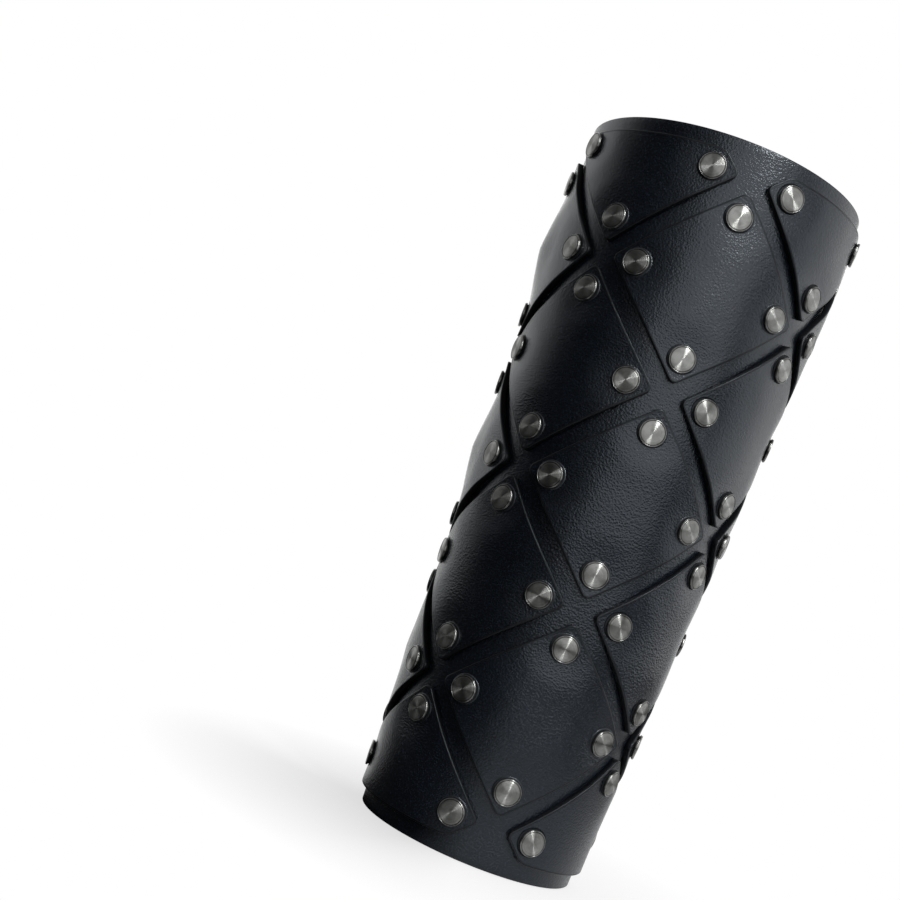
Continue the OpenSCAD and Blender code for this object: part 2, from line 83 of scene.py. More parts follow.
class LeatherSettings(bpy.types.PropertyGroup):
    """Sizes and colours of the base leather."""

    length: length_property("Length", "From the wrist rim to the elbow rim", 251)
    wrist_diameter: length_property("Wrist diameter", "Outside, at the wrist rim", 77)
    elbow_diameter: length_property("Elbow diameter", "Outside, at the elbow rim", 100)
    thickness: length_property("Thickness", "Thickness of the base leather", 3)
    trim_start: FloatProperty(
        name="Trim start", description="Where the rims start to be cut back, from the front",
        default=math.radians(104), subtype="ANGLE",
    )
    elbow_cut: length_property("Elbow cut", "How far the elbow rim is cut back", 24)
    wrist_cut: length_property("Wrist cut", "How far the wrist rim is cut back", 33)
    corner_radius: length_property("Corner radius", "Radius of the flap corners", 8)
    elbow_gap: length_property("Elbow gap", "Gap between the lacing edges, elbow end", 39)
    wrist_gap: length_property("Wrist gap", "Gap between the lacing edges, wrist end", 27)
    grain_colour: colour_property("Grain colour", "Dyed grain side", "#080b10")
    flesh_colour: colour_property("Flesh colour", "Dyed flesh side inside the tube", "#45484c")
    edge_colour: colour_property("Edge colour", "Burnished cut edges", "#0a0b0d")


class PanelSettings(bpy.types.PropertyGroup):
    """Sizes of the diamond panels."""

    thickness: length_property("Thickness", "Thickness of the panel leather", 2)
    elbow_row: length_property("Elbow row", "From the elbow rim to the cut panels' rivets", 12.1)
    wrist_row: length_property("Wrist row", "From the wrist rim to the cut panels' rivets", 13.9)
    column_pitch: length_property("Column pitch", "From one column of panels to the next", 38.3)
    channel: length_property("Channel", "Width of the channel between two panels", 6)
    rim_margin: length_property("Rim margin", "Bare strip beside either rim", 5.8)
    side_margin: length_property("Side margin", "From the upright rivets to the cut edge", 6)
    corner: length_property("Corner", "Radius of the panel corners", 2.2)
    edge: length_property("Edge", "Width of the rounded upper edge", 0.32)
    side_lift: length_property("Side lift", "How far a side panel bulges off the base", 2.6)


class FastenerSettings(bpy.types.PropertyGroup):
    """Sizes and colours of the rivets and eyelets."""

    rivet_reach: length_property("Rivet reach", "From a panel's centre to its rivets", 24.7)
    cap_diameter: length_property("Cap diameter", "Diameter of a rivet's cap", 9)
    cap_height: length_property("Cap height", "Height of a rivet's cap", 1.8)
    post_flange: length_property("Post flange", "Diameter of a post's flange", 7.5)
    post_bore: length_property("Post bore", "Bore of a tubular post", 2.2)
    eyelet_count: IntProperty(
        name="Eyelets", description="Number of eyelets in each flap", default=6, min=5, max=6
    )
    eyelet_inset: length_property("Eyelet inset", "From the lacing edge to the eyelets", 14.5)
    first_eyelet: length_property("First eyelet", "From the elbow corner to the first", 10.5)
    last_eyelet: length_property("Last eyelet", "From the wrist corner to the last", 13.5)
    eyelet_flange: length_property("Eyelet flange", "Diameter of the rolled flange", 12.5)
    eyelet_bore: length_property("Eyelet bore", "Bore of an eyelet", 7.4)
    washer_diameter: length_property("Washer diameter", "Diameter of an eyelet's washer", 12)
    cap_colour: colour_property("Cap colour", "Brushed nickel of the caps", "#929390")
    eyelet_colour: colour_property("Eyelet colour", "Nickel of the eyelets", "#a9a69d")
    post_colour: colour_property("Post colour", "Tumbled nickel of the posts", "#c2c3c2")


class LaceSettings(bpy.types.PropertyGroup):
    """Sizes and colours of the lace."""

    width: length_property("Width", "Width of the flat braid", 8)
    thickness: length_property("Thickness", "Thickness of the flat braid", 1.5)
    pinched_width: length_property("Pinched width", "Width in an eyelet", 6)
    knot_width: length_property("Knot width", "Across the lacing", 13)
    knot_depth: length_property("Knot depth", "Outwards", 9.5)
    knot_height: length_property("Knot height", "Along the tube", 9)
    colour: colour_property("Lace colour", "Dyed and waxed yarn", "#050609")
    # this colour paints the pale flecks on the yarns' crowns: partly wear, partly painted glints
    worn_glint_colour: colour_property("Worn colour", "Crowns of the yarns, rubbed pale", "#767b84")


class StageSettings(bpy.types.PropertyGroup):
    """Camera and studio light."""

    focal_length: FloatProperty(
        name="Focal length", description="On a sensor 36 mm wide", default=56.07
    )
    backdrop: colour_property("Backdrop", "Colour of the floor and the backdrop", "#ffffff")
    tent_light: FloatProperty(
        name="Tent light", description="Brightness of the tent round it, as a part of white",
        default=0.3, min=0, max=2,
    )
    softbox_light: FloatProperty(
        name="Softbox light", description="Brightness of the softboxes, as a part of white",
        default=1.75, min=0, max=5,
    )


SETTINGS = {
    "bracer_leather": LeatherSettings,
    "bracer_panels": PanelSettings,
    "bracer_fasteners": FastenerSettings,
    "bracer_lace": LaceSettings,
    "bracer_stage": StageSettings,
}


# Shape of the tube


def ramp(value, low, high):
    """Smooth step from 0 at low to 1 at high."""
    t = min(1, max(0, (value - low) / (high - low)))
    return t * t * (3 - 2 * t)


def corner_arc(before, corner, after, radius, steps):
    """Points of the arc that rounds a corner of an anticlockwise outline."""
    way_in, way_out = (corner - before).normalized(), (after - corner).normalized()
    turn = way_in.angle(way_out)
    centre = corner - way_in * radius * math.tan(turn / 2) - Vector((way_in.y, -way_in.x)) * radius
    start = math.atan2(-way_in.x, way_in.y)
    angles = [start + turn * k / steps for k in range(steps + 1)]
    return [centre + radius * Vector((math.cos(a), math.sin(a))) for a in angles]


class Tube:
    """The cone that the leather is rolled into, and where things lie on it."""

    CORNER_STEPS = 8

    def __init__(self, context):
        leather = context.scene.bracer_leather
        fasteners = context.scene.bracer_fasteners
        self.length, self.thickness = leather.length, leather.thickness
        self.wrist = leather.wrist_diameter / 2
        self.taper = (leather.elbow_diameter - leather.wrist_diameter) / 2 / self.length
        self.half_cone = math.atan(self.taper)
        self.slant = self.wrist / math.sin(self.half_cone)
        # heights of a flap's two corners
        self.low, self.top = leather.wrist_cut, self.length - leather.elbow_cut
        self.edge = self.flap_edge(leather)
        self.eyelet_inset = fasteners.eyelet_inset
        self.eyelet_count = fasteners.eyelet_count
        self.first_eyelet = self.top - fasteners.first_eyelet
        row = self.first_eyelet - self.low - fasteners.last_eyelet
        self.eyelet_pitch = row / (self.eyelet_count - 1)

    def radius(self, z):
        return self.wrist + self.taper * z

    def polar(self, angle, z, off):
        """Point at an angle and a height, raised off the base leather."""
        r = self.radius(z) + off
        return Vector((r * math.sin(angle), -r * math.cos(angle), z))

    def wrap(self, x, y, off):
        """Point of the flat pattern, wrapped on the cone and raised off the base leather."""
        s = math.hypot(x, y + self.slant)
        angle = math.atan2(x, y + self.slant) / math.sin(self.half_cone)
        r = s * math.sin(self.half_cone) + off
        z = (s - self.slant) * math.cos(self.half_cone)
        return Vector((r * math.sin(angle), -r * math.cos(angle), z))

    def on_leather(self, place):
        """Matrix that sets a fastener on the leather, with its +Z straight out."""
        return (
            Matrix.Translation(place)
            @ Matrix.Rotation(math.atan2(place.x, -place.y), 4, "Z")
            @ Matrix.Rotation(math.pi / 2 + self.half_cone, 4, "X")
        )

    def flap_edge(self, leather):
        """Heights and distances from the back's middle of the +X flap's edge."""

        def corner(gap, z):
            return Vector((-math.asin(gap / 2 / self.radius(z)) * self.radius(z), z))

        behind = math.pi - leather.trim_start
        low_trim = Vector((-behind * self.radius(0), 0))
        top_trim = Vector((-behind * self.radius(self.length), self.length))
        low, top = corner(leather.wrist_gap, self.low), corner(leather.elbow_gap, self.top)
        arcs = corner_arc(low_trim, low, top, leather.corner_radius, self.CORNER_STEPS)
        arcs += corner_arc(low, top, top_trim, leather.corner_radius, self.CORNER_STEPS)
        return [(p.y, -p.x) for p in [low_trim, *arcs, top_trim]]

    def open_angle(self, z):
        """Half of the open angle at the back, at a height."""
        edge = self.edge
        for (z0, d0), (z1, d1) in zip(edge, edge[1:]):
            if z <= z1:
                return (d0 + (d1 - d0) * (z - z0) / (z1 - z0)) / self.radius(z)
        return edge[-1][1] / self.radius(z)

    def eyelet_height(self, i):
        return self.first_eyelet - i * self.eyelet_pitch

    def eyelet_angle(self, z):
        return math.pi - self.open_angle(z) - self.eyelet_inset / self.radius(z)

    def eyelet_place(self, side, i):
        z = self.eyelet_height(i)
        return self.polar(side * self.eyelet_angle(z), z, 0)

    def sag(self, z, width):
        """Height of the inner face's arc across a flat disc that seats on it."""
        r = self.radius(z) - self.thickness
        return r - math.sqrt(r * r - width * width / 4)


class PanelPlan:
    """Where the diamond panels and their rivets lie in the flat pattern."""

    def __init__(self, context):
        leather, panels = context.scene.bracer_leather, context.scene.bracer_panels
        self.pitch = panels.column_pitch
        # the front's three rows stand half a pitch off the four rows beside it
        row_pitch = (leather.length - panels.elbow_row - panels.wrist_row) / 3
        self.reach = (math.hypot(self.pitch, row_pitch / 2) - panels.channel) / math.sqrt(2)
        self.front_rows = [panels.wrist_row + (2.5 - i) * row_pitch for i in range(3)]
        self.outer_rows = [panels.wrist_row + (3 - i) * row_pitch for i in range(4)]
        r = context.scene.bracer_fasteners.rivet_reach
        self.top, self.bottom, self.inner, self.outer = (0, r), (0, -r), (-r, 0), (r, 0)

    def panels(self):
        """Each panel: its node, side, column, row, rivets and which part is cut off."""
        full = [self.top, self.bottom, self.inner, self.outer]
        made = [
            (f"front_panel_{name}", 1, 0, self.front_rows[i], full, None)
            for i, name in enumerate(("top", "middle", "bottom"))
        ]
        for side, word in ((-1, "left"), (1, "right")):
            for name, row, gone in (
                ("elbow", self.outer_rows[0], self.top), ("upper", self.outer_rows[1], None),
                ("lower", self.outer_rows[2], None), ("wrist", self.outer_rows[3], self.bottom),
            ):
                kept = [place for place in full if place != gone]
                cut = name if gone else None
                made.append((f"{word}_panel_{name}", side, 1, row, kept, cut))
            kept = [place for place in full if place != self.outer]
            made += [
                (f"{word}_side_panel_{name}", side, 2, self.front_rows[i], kept, "side")
                for i, name in enumerate(("top", "middle", "bottom"))
            ]
        return made

    def rivets(self, group):
        """Side and flat pattern point of each rivet of a group, such as left_side."""
        column = {"front": 0, "left": 1, "right": 1, "left_side": 2, "right_side": 2}[group]
        side = -1 if group.startswith("left") else 1
        return [
            (side, column * self.pitch + x, row + y)
            for _, s, c, row, places, _ in self.panels()
            if c == column and s == side
            for x, y in places
        ]


# Pieces

TOUCHING = 1e-6  # points closer than this are one


def finish_piece(name, bm, materials, slot, *nodes):
    """Turns a bmesh into a smooth-shaded object that stands for CAD nodes."""
    old = bpy.data.objects.get(name)
    if old:
        bpy.data.objects.remove(old)
    for face in bm.faces:
        face.smooth = True
    mesh = bpy.data.meshes.new(name)
    bm.to_mesh(mesh)
    bm.free()
    for material in materials:
        mesh.materials.append(material)
    piece = bpy.data.objects.new(name, mesh)
    bpy.context.collection.objects.link(piece)
    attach(piece, "root")
    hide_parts(*nodes)
    return piece


def spun(profile, steps):
    """Mesh of a ring or disc turned from a profile of radii and heights in millimetres."""
    bm = bmesh.new()
    verts = [bm.verts.new((r * MM, 0, h * MM)) for r, h in profile]
    edges = [bm.edges.new(pair) for pair in zip(verts, verts[1:])]
    if profile[0][0] and profile[-1][0]:
        edges.append(bm.edges.new((verts[-1], verts[0])))
    bmesh.ops.spin(
        bm, geom=verts + edges, cent=(0, 0, 0), axis=(0, 0, 1), dvec=(0, 0, 0),
        angle=math.tau, steps=steps, use_merge=True, use_duplicate=False,
    )
    bmesh.ops.remove_doubles(bm, verts=bm.verts, dist=TOUCHING)
    bmesh.ops.recalc_face_normals(bm, faces=bm.faces)
    brush = bm.loops.layers.uv.new("brush")
    for face in bm.faces:
        centre = face.calc_center_median()
        middle = math.atan2(centre.y, centre.x)
        for loop in face.loops:
            p = loop.vert.co
            r = math.hypot(p.x, p.y)
            angle = middle if r < TOUCHING else math.atan2(p.y, p.x)
            angle -= math.tau * round((angle - middle) / math.tau)
            # U runs outwards in millimetres and V round, in turns
            loop[brush].uv = (r / MM, angle / math.tau)
    mesh = bpy.data.meshes.new("spun")
    bm.to_mesh(mesh)
    bm.free()
    return mesh


def set_down(bm, shape, matrix):
    """Adds a copy of a mesh at a place."""
    before = len(bm.verts)
    bm.from_mesh(shape)
    bm.verts.ensure_lookup_table()
    bmesh.ops.transform(bm, matrix=matrix, verts=bm.verts[before:])


# the leather's unevenness: waves per metre, and how many millimetres each kind rises and falls
RIPPLES = ((34, 0.25), (95, 0.0875))


def ripple(place):
    """Slow unevenness of hand-cut leather, in waves some 30 mm and 10 mm long."""
    return sum(noise.noise(place * waves) * height for waves, height in RIPPLES) * MM


# Lace


STEP = 0.6 * MM  # between two rings of the braid
EASING = 14  # rounds of averaging that ease the bends of a taut run


def taut(stations):
    """Places, width directions and widths of a taut run: straight, with its bends eased."""
    run = []
    for (p, w, k), (q, v, m) in zip(stations, stations[1:]):
        parts = max(1, math.ceil((q - p).length / STEP))
        for j in range(parts):
            run.append((p.lerp(q, j / parts), w.lerp(v, j / parts), k + (m - k) * j / parts))
    run.append(stations[-1])
    for _ in range(EASING):
        eased = [
            tuple((a[i] + c[i]) / 4 + b[i] / 2 for i in range(3))
            for a, b, c in zip(run, run[1:], run[2:])
        ]
        run = [run[0], *eased, run[-1]]
    return run


def spline(stations):
    """Places, width directions and widths of a loose run: a smooth curve through stations."""

    def between(p, t, spans):
        """Place on the curve between the second and third of four, by their distances' roots."""
        a, b, c = spans
        a1 = p[0] * ((0 - t) / a) + p[1] * ((t + a) / a)
        a2 = p[1] * ((b - t) / b) + p[2] * (t / b)
        a3 = p[2] * ((b + c - t) / c) + p[3] * ((t - b) / c)
        b1 = a1 * ((b - t) / (a + b)) + a2 * ((t + a) / (a + b))
        b2 = a2 * ((b + c - t) / (b + c)) + a3 * (t / (b + c))
        return b1 * ((b - t) / b) + b2 * (t / b)

    first = (2 * stations[0][0] - stations[1][0], *stations[0][1:])
    last = (2 * stations[-1][0] - stations[-2][0], *stations[-1][1:])
    ends = [first, *stations, last]
    made = []
    for k in range(1, len(ends) - 2):
        four = ends[k - 1 : k + 3]
        spans = [math.sqrt(max((q[0] - p[0]).length, TOUCHING)) for p, q in zip(four, four[1:])]
        (start, way_in, width_in), (end, way_out, width_out) = four[1:3]
        parts = max(1, math.ceil((end - start).length / STEP))
        for j in range(parts + (k == len(ends) - 3)):
            place = between([s[0] for s in four], j / parts * spans[1], spans)
            t = ramp(j / parts, 0, 1)
            made.append((place, way_in.lerp(way_out, t), width_in + (width_out - width_in) * t))
    return made


COLUMNS = 6  # plaits across the flat braid
STITCH = 1.8 * MM  # length of one stitch of a plait
SLANT = 0.8  # how far a stitch leans over the width of its plait, in stitches
PLIES = 4  # yarns side by side in a stitch
FACE = 24  # steps across one face of the braid
AROUND = 2 * FACE + 4  # points round it

# how the braid departs from a flat ribbon
SWELL = 0.3  # it thickens where an eyelet pinches it
THINNING = 0.45  # its faces slope down beside the two edges
GROOVE = 0.28  # depth in millimetres between two plaits
DIP = 0.2  # depth in millimetres between two stitches
EDGE = 0.18 * MM  # how far its edges stand out beyond the faces
CUT_END, CUT_PRESS = 0.8 * MM, 0.25  # length that is pressed flatter at a cut, and how much


def girth(lace, j):
    """Distance round the braid of its point j, in metres: one face, then the other."""
    face, k = divmod(j, FACE + 2)
    return (face + max(0, k - 1) / FACE) * lace.width


def braid_ring(lace, width, along):
    """Points round a flat braid: how far across and how far out."""
    half = lace.thickness / 2 * (1 + SWELL * (lace.width - width) / lace.width)
    ring = []
    for j in range(AROUND):
        face = 1 if j < AROUND / 2 else -1
        k = j % (FACE + 2) - 1
        if k < 0:
            ring.append((face * width / 2, 0.0))
            continue
        x = face * (1 - 2 * k / FACE)
        plait = girth(lace, j) / lace.width * COLUMNS
        ridge = math.sin(math.pi * (plait % 1))
        # the stitches of neighbouring plaits lean opposite ways
        lean = SLANT if int(round(plait, 6)) % 2 else -SLANT
        stitch = abs(math.sin(math.pi * (along / STITCH + lean * (plait % 1))))
        # the sixth power keeps a face flat until close to its edges
        y = half * (1 - THINNING * abs(x) ** 6)
        y -= (GROOVE * (1 - ridge) + DIP * (1 - stitch) * ridge) * MM
        ring.append((x * (width / 2 - EDGE), face * y))
    return ring


def braid(bm, run):
    """Adds a flat braid along a run of places, directions of its width, and widths."""
    lace = bpy.context.scene.bracer_lace
    uv = bm.loops.layers.uv.get("braid") or bm.loops.layers.uv.new("braid")
    rows = len(run)
    made = bmesh.ops.create_grid(
        bm, x_segments=AROUND, y_segments=rows - 1, size=1, calc_uvs=True
    )["verts"]
    ends = [(run[max(i - 1, 0)][0], run[min(i + 1, rows - 1)][0]) for i in range(rows)]
    ahead = [(after - before).normalized() for before, after in ends]
    out = [ahead[i].cross(run[i][1]).normalized() for i in range(rows)]
    across = [out[i].cross(ahead[i]) for i in range(rows)]
    far = [0]
    for a, b in zip(run, run[1:]):
        far.append(far[-1] + (b[0] - a[0]).length)
    rings = [braid_ring(lace, run[i][2], far[i]) for i in range(rows)]
    for v in made:
        column = round((v.co.x + 1) / 2 * AROUND) % AROUND
        row = round((v.co.y + 1) / 2 * (rows - 1))
        x, y = rings[row][column]
        end = min(far[row], far[-1] - far[row])
        squeeze = (1 - CUT_PRESS) + CUT_PRESS * ramp(end, 0, CUT_END)
        v.co = run[row][0] + across[row] * x + out[row] * y * squeeze
    for face in {f for v in made for f in v.link_faces}:
        for loop in face.loops:
            u, v = loop[uv].uv
            # U and V in millimetres, round and along the braid
            loop[uv].uv = (girth(lace, round(u * AROUND)) / MM, far[round(v * (rows - 1))] / MM)
    bmesh.ops.remove_doubles(bm, verts=made, dist=TOUCHING)
    bmesh.ops.holes_fill(bm, edges=[e for e in bm.edges if e.is_boundary], sides=0)


def braided_piece(name, runs, *nodes):
    """Makes one piece of the lace from a braid along each of some runs."""
    bm = bmesh.new()
    for run in runs:
        braid(bm, run)
    bmesh.ops.recalc_face_normals(bm, faces=bm.faces)
    return finish_piece(name, bm, [waxed_flat_braid(bpy.context)], "lace_cord", *nodes)


class LaceRoute:
    """Stations of the lace's two strands from the top bar down to the knot."""

    CLEARANCE = 0.5 * MM  # between the lace and what it lies on
    CROSSING_GAP = 1 * MM  # between two strands where they cross
    # distances from an eyelet's middle: in its mouth, where the lace leaves it, at full width
    MOUTH, PINCHED, FULL_WIDTH = 0.8 * MM, 3.4 * MM, 8 * MM
    DIVE = 0.8 * MM  # how far the lace has turned into the bore at the mouth
    RISE = 0.4 * MM  # how far it has risen to the flap at full width, inside
    ARCH, SETTLED = 0.1 * MM, 0.3 * MM  # how far it arches over the bead, and lies below it
    PAST_EDGE = 1.6 * MM  # how far beyond a flap's edge it stays parallel to the leather
    BAR = (0, 0.6)  # stations on half of the top bar, as parts of it
    BEAD, WASHER, WALL = 1.2 * MM, 0.6 * MM, 0.5 * MM  # thickness of the eyelet's parts
    # the knot's middle: sideways, outwards from the leather, and below the last eyelets
    KNOT_ASIDE, KNOT_OUT, KNOT_BELOW = -1 * MM, 3.4 * MM, 0.5 * MM
    KNOT_ENTRY = 1.5 * MM  # how far behind the knot's middle the strands enter it
    STRAIGHT_END = 1.6 * MM  # the lace leaves the knot straight for this length
    LAYER = 2.8 * MM  # from one layer of the bow to the next

    def __init__(self, context):
        self.tube = Tube(context)
        self.lace = context.scene.bracer_lace
        self.washer = context.scene.bracer_fasteners.washer_diameter
        self.half = self.lace.thickness / 2
        self.outside = self.BEAD + self.half + self.CLEARANCE
        z = self.tube.eyelet_height(self.tube.eyelet_count - 1) - self.KNOT_BELOW
        self.knot = Vector((self.KNOT_ASIDE, self.tube.radius(z) + self.KNOT_OUT, z))

    def inside(self, i):
        """Height over the leather's outer face of a lace that lies under an eyelet."""
        tube = self.tube
        seat = tube.thickness + tube.sag(tube.eyelet_height(i), self.washer)
        return -seat - self.WASHER - self.WALL - self.half - self.CLEARANCE

    def place(self, side, i, along, slope, off):
        """Point at a distance from an eyelet towards the lacing, on a slope."""
        tube = self.tube
        z = tube.eyelet_height(i) + along * math.sin(slope)
        angle = tube.eyelet_angle(tube.eyelet_height(i)) + along * math.cos(slope) / tube.radius(z)
        return tube.polar(side * angle, z, off)

    def width_way(self, side, i, slope):
        """Direction of the width of a lace that lies on the leather, towards its upper edge."""
        a = side * self.tube.eyelet_angle(self.tube.eyelet_height(i))
        ahead = side * math.cos(slope) * Vector((math.cos(a), math.sin(a), 0))
        ahead += Vector((0, 0, math.sin(slope)))
        return side * Vector((math.sin(a), -math.cos(a), 0)).cross(ahead).normalized()

    def slope(self, i):
        """Angle at which the lace runs down from an eyelet to the next in the other flap."""
        z = self.tube.eyelet_height(i)
        across = 2 * (math.pi - self.tube.eyelet_angle(z)) * self.tube.radius(z)
        return math.atan(self.tube.eyelet_pitch / across)

    def run_in(self, side, i, slope):
        """Under a flap, from beyond its edge to the eyelet."""
        w, lace, inside = self.width_way(side, i, slope), self.lace, self.inside(i)
        beyond = self.tube.eyelet_inset / math.cos(slope) + self.PAST_EDGE
        under = -self.tube.thickness - self.half - self.CLEARANCE
        return [
            (self.place(side, i, beyond, slope, under), w, lace.width),
            (self.place(side, i, self.FULL_WIDTH, slope, inside + self.RISE), w, lace.width),
            (self.place(side, i, self.PINCHED, slope, inside), w, lace.pinched_width),
            (self.place(side, i, self.MOUTH, slope, inside + self.DIVE), w, lace.pinched_width),
        ]

    def run_out(self, side, i, slope, beyond):
        """Over a flap, from the eyelet to a distance from it."""
        w, lace, over = self.width_way(side, i, slope), self.lace, self.outside
        return [
            (self.place(side, i, self.MOUTH, slope, over - self.DIVE), w, lace.pinched_width),
            (self.place(side, i, self.PINCHED, slope, over + self.ARCH), w, lace.pinched_width),
            (self.place(side, i, self.FULL_WIDTH, slope, over - self.SETTLED), w, lace.width),
            (self.place(side, i, beyond, slope, self.half + self.CLEARANCE), w, lace.width),
        ]

    def crossing(self, at, i):
        """From one eyelet to the next below it, which is in the other flap."""
        slope = self.slope(i)
        beyond = self.tube.eyelet_inset / math.cos(slope) + self.PAST_EDGE
        start = self.run_out(at, i, -slope, beyond)
        end = self.run_in(-at, i + 1, slope)
        # the strand that starts on the +X side passes over the other
        lift = at * (self.lace.thickness + self.CROSSING_GAP) / 2
        middle = (start[-1][0] + end[0][0]) / 2 + Vector((0, lift, 0))
        w = (start[-1][1] + end[0][1]).normalized()
        return [*start, (middle, w, self.lace.width), *end]

    def to_knot(self, at, i):
        """From the last eyelet to the knot's side."""
        start = self.run_out(at, i, 0, self.tube.eyelet_inset - self.PAST_EDGE)
        side = self.knot + Vector((at * self.lace.knot_width / 2, -self.KNOT_ENTRY, 0))
        up = Vector((0, 0, 1))
        return start + [
            (side + Vector((at * d, 0, 0)), up, self.lace.width) for d in (self.STRAIGHT_END, 0)
        ]

    def strand(self, side):
        """One strand from the middle of the top bar: side is where it starts."""
        last = self.tube.eyelet_count - 1
        bar = self.run_in(side, 0, 0)
        turn = bar[2][0]
        up, width, pinched = Vector((0, 0, 1)), self.lace.width, self.lace.pinched_width
        made = [(Vector((t * turn.x, turn.y, turn.z)), up, width) for t in self.BAR] + bar[2:]
        for i in range(last + 1):
            at = side if i % 2 == 0 else -side
            slope_in = self.slope(i - 1) if i else 0
            slope_out = -self.slope(i) if i < last else 0
            w = (self.width_way(at, i, slope_out) + self.width_way(at, i, slope_in)).normalized()
            made.append((self.place(at, i, 0, 0, -self.tube.thickness / 2), w, pinched))
            made += self.to_knot(at, i) if i == last else self.crossing(at, i)
        return made

    def whole(self):
        """The laced run from one side of the knot over the top bar to the other."""
        return self.strand(1)[::-1] + self.strand(-1)[1:]

    def stub(self, aside, layer, up, d):
        """Station some millimetres aside, in a layer of the bow, above or below the knot."""
        off = Vector((aside * MM, layer * self.LAYER, up * (self.lace.knot_height / 2 + d)))
        return (self.knot + off, Vector((1, 0, 0)), self.lace.width)

    def stretch(self, points):
        """Stations listed from the knot's middle."""
        return [
            (self.knot + Vector(p) * MM, Vector(w).normalized(), self.lace.width * k)
            for p, w, k in ((*s, 1)[:3] for s in points)
        ]


# The bow's loops and ends, from the knot's middle: places in millimetres, directions of the
# width, and the width as a part of the lace's where it isn't all of it
UPPER_LOOP = [
    ((-1.6, 0.8, 12), (1, 0, 0)), ((-1.3, 2, 22), (1, 0, 0)), ((-1.6, 3.1, 34), (1, 0, -0.05)),
    ((-2.4, 3.7, 43), (1, 0, -0.1)), ((-2.7, 4.1, 46.3), (1, 0, -0.1)),
    ((-2.8, 5.9, 48.2), (1, 0, -0.1)), ((-2.8, 7.7, 46.3), (1, 0, -0.1)),
    ((-2.5, 8.1, 42.5), (1, 0, -0.1)), ((-1.7, 7.5, 33), (1, 0, -0.05)),
    ((-1.3, 6, 22), (1, 0, 0)), ((-1.6, 4.3, 12), (1, 0, 0)),
]
UPPER_END = [
    ((-4.8, -2.3, 11), (1, 0, 0.3)), ((-9, -1.4, 18), (1, 0.1, 0.5)),
    ((-13.5, 0.6, 25.5), (1, 0.3, 0.6)), ((-17.4, 0.8, 34), (1, 0.4, 0.6), 1.03),
    ((-21, 0.2, 43.8), (1, 0.5, 0.6), 1.08),
]
LOWER_LOOP = [
    ((0.4, -0.8, -12), (1, 0.1, 0.1)), ((1.6, -3, -18), (0.9, 0.4, 0.3)),
    ((3.6, -5.4, -24), (0.75, 0.65, 0.3)), ((6.6, -7.8, -29), (0.6, 0.75, 0.3)),
    ((10.4, -10.6, -32), (0.5, 0.8, 0.15)), ((14.2, -14.4, -32.2), (0.4, 0.9, 0)),
    ((17.4, -17.6, -29.4), (0.45, 0.85, -0.2)), ((18.6, -18.6, -24.4), (0.5, 0.8, -0.2)),
    ((17.2, -17.9, -18.4), (0.5, 0.8, -0.1)), ((13.6, -15.4, -13.4), (0.55, 0.7, 0.2)),
    ((8.8, -11.6, -10.6), (0.55, 0.65, 0.4)), ((4.4, -7.2, -9.4), (0.6, 0.5, 0.5)),
    ((1.4, -4.4, -7.8), (0.8, 0.35, 0.5)),
]
LOWER_END = [
    ((0.8, 3.2, -11), (1, 0, 0)), ((1.8, 3.4, -18), (1, 0, 0.1)),
    ((3.8, 2.9, -28), (1, -0.1, 0.2)), ((6.8, 1.4, -40), (1, -0.1, 0.3), 1.08),
]


class BRACER_OT_bow(bpy.types.Operator):
    """Make the bow: two strands of the lace, each a loop and the end beyond the knot"""

    bl_idname = "bracer.bow"
    bl_label = "Bow"

    def execute(self, context):
        route = LaceRoute(context)
        d = route.STRAIGHT_END
        # each strand leaves the knot, makes its loop, and comes out of the knot again as an end
        upper = (
            [route.stub(-1.8, 0, 1, 0), route.stub(-1.8, 0, 1, d)]
            + route.stretch(UPPER_LOOP)
            + [route.stub(-1.8, 1, 1, d), route.stub(0.5, 1, -1, d)]
            + route.stretch(LOWER_END)
        )
        lower = (
            [route.stub(0, 0, -1, 0), route.stub(0, 0, -1, d)]
            + route.stretch(LOWER_LOOP)
            + [route.stub(0, -1, -1, d), route.stub(-2.2, -1, 1, d)]
            + route.stretch(UPPER_END)
        )
        for name, stations, nodes in (
            ("bow_upper_strand-braid", upper, ("bow_upper_loop", "lace_lower_end")),
            ("bow_lower_strand-braid", lower, ("bow_lower_loop", "lace_upper_end")),
        ):
            run = spline(stations)
            piece = braided_piece(name, [run], *nodes)
        return {"FINISHED"}


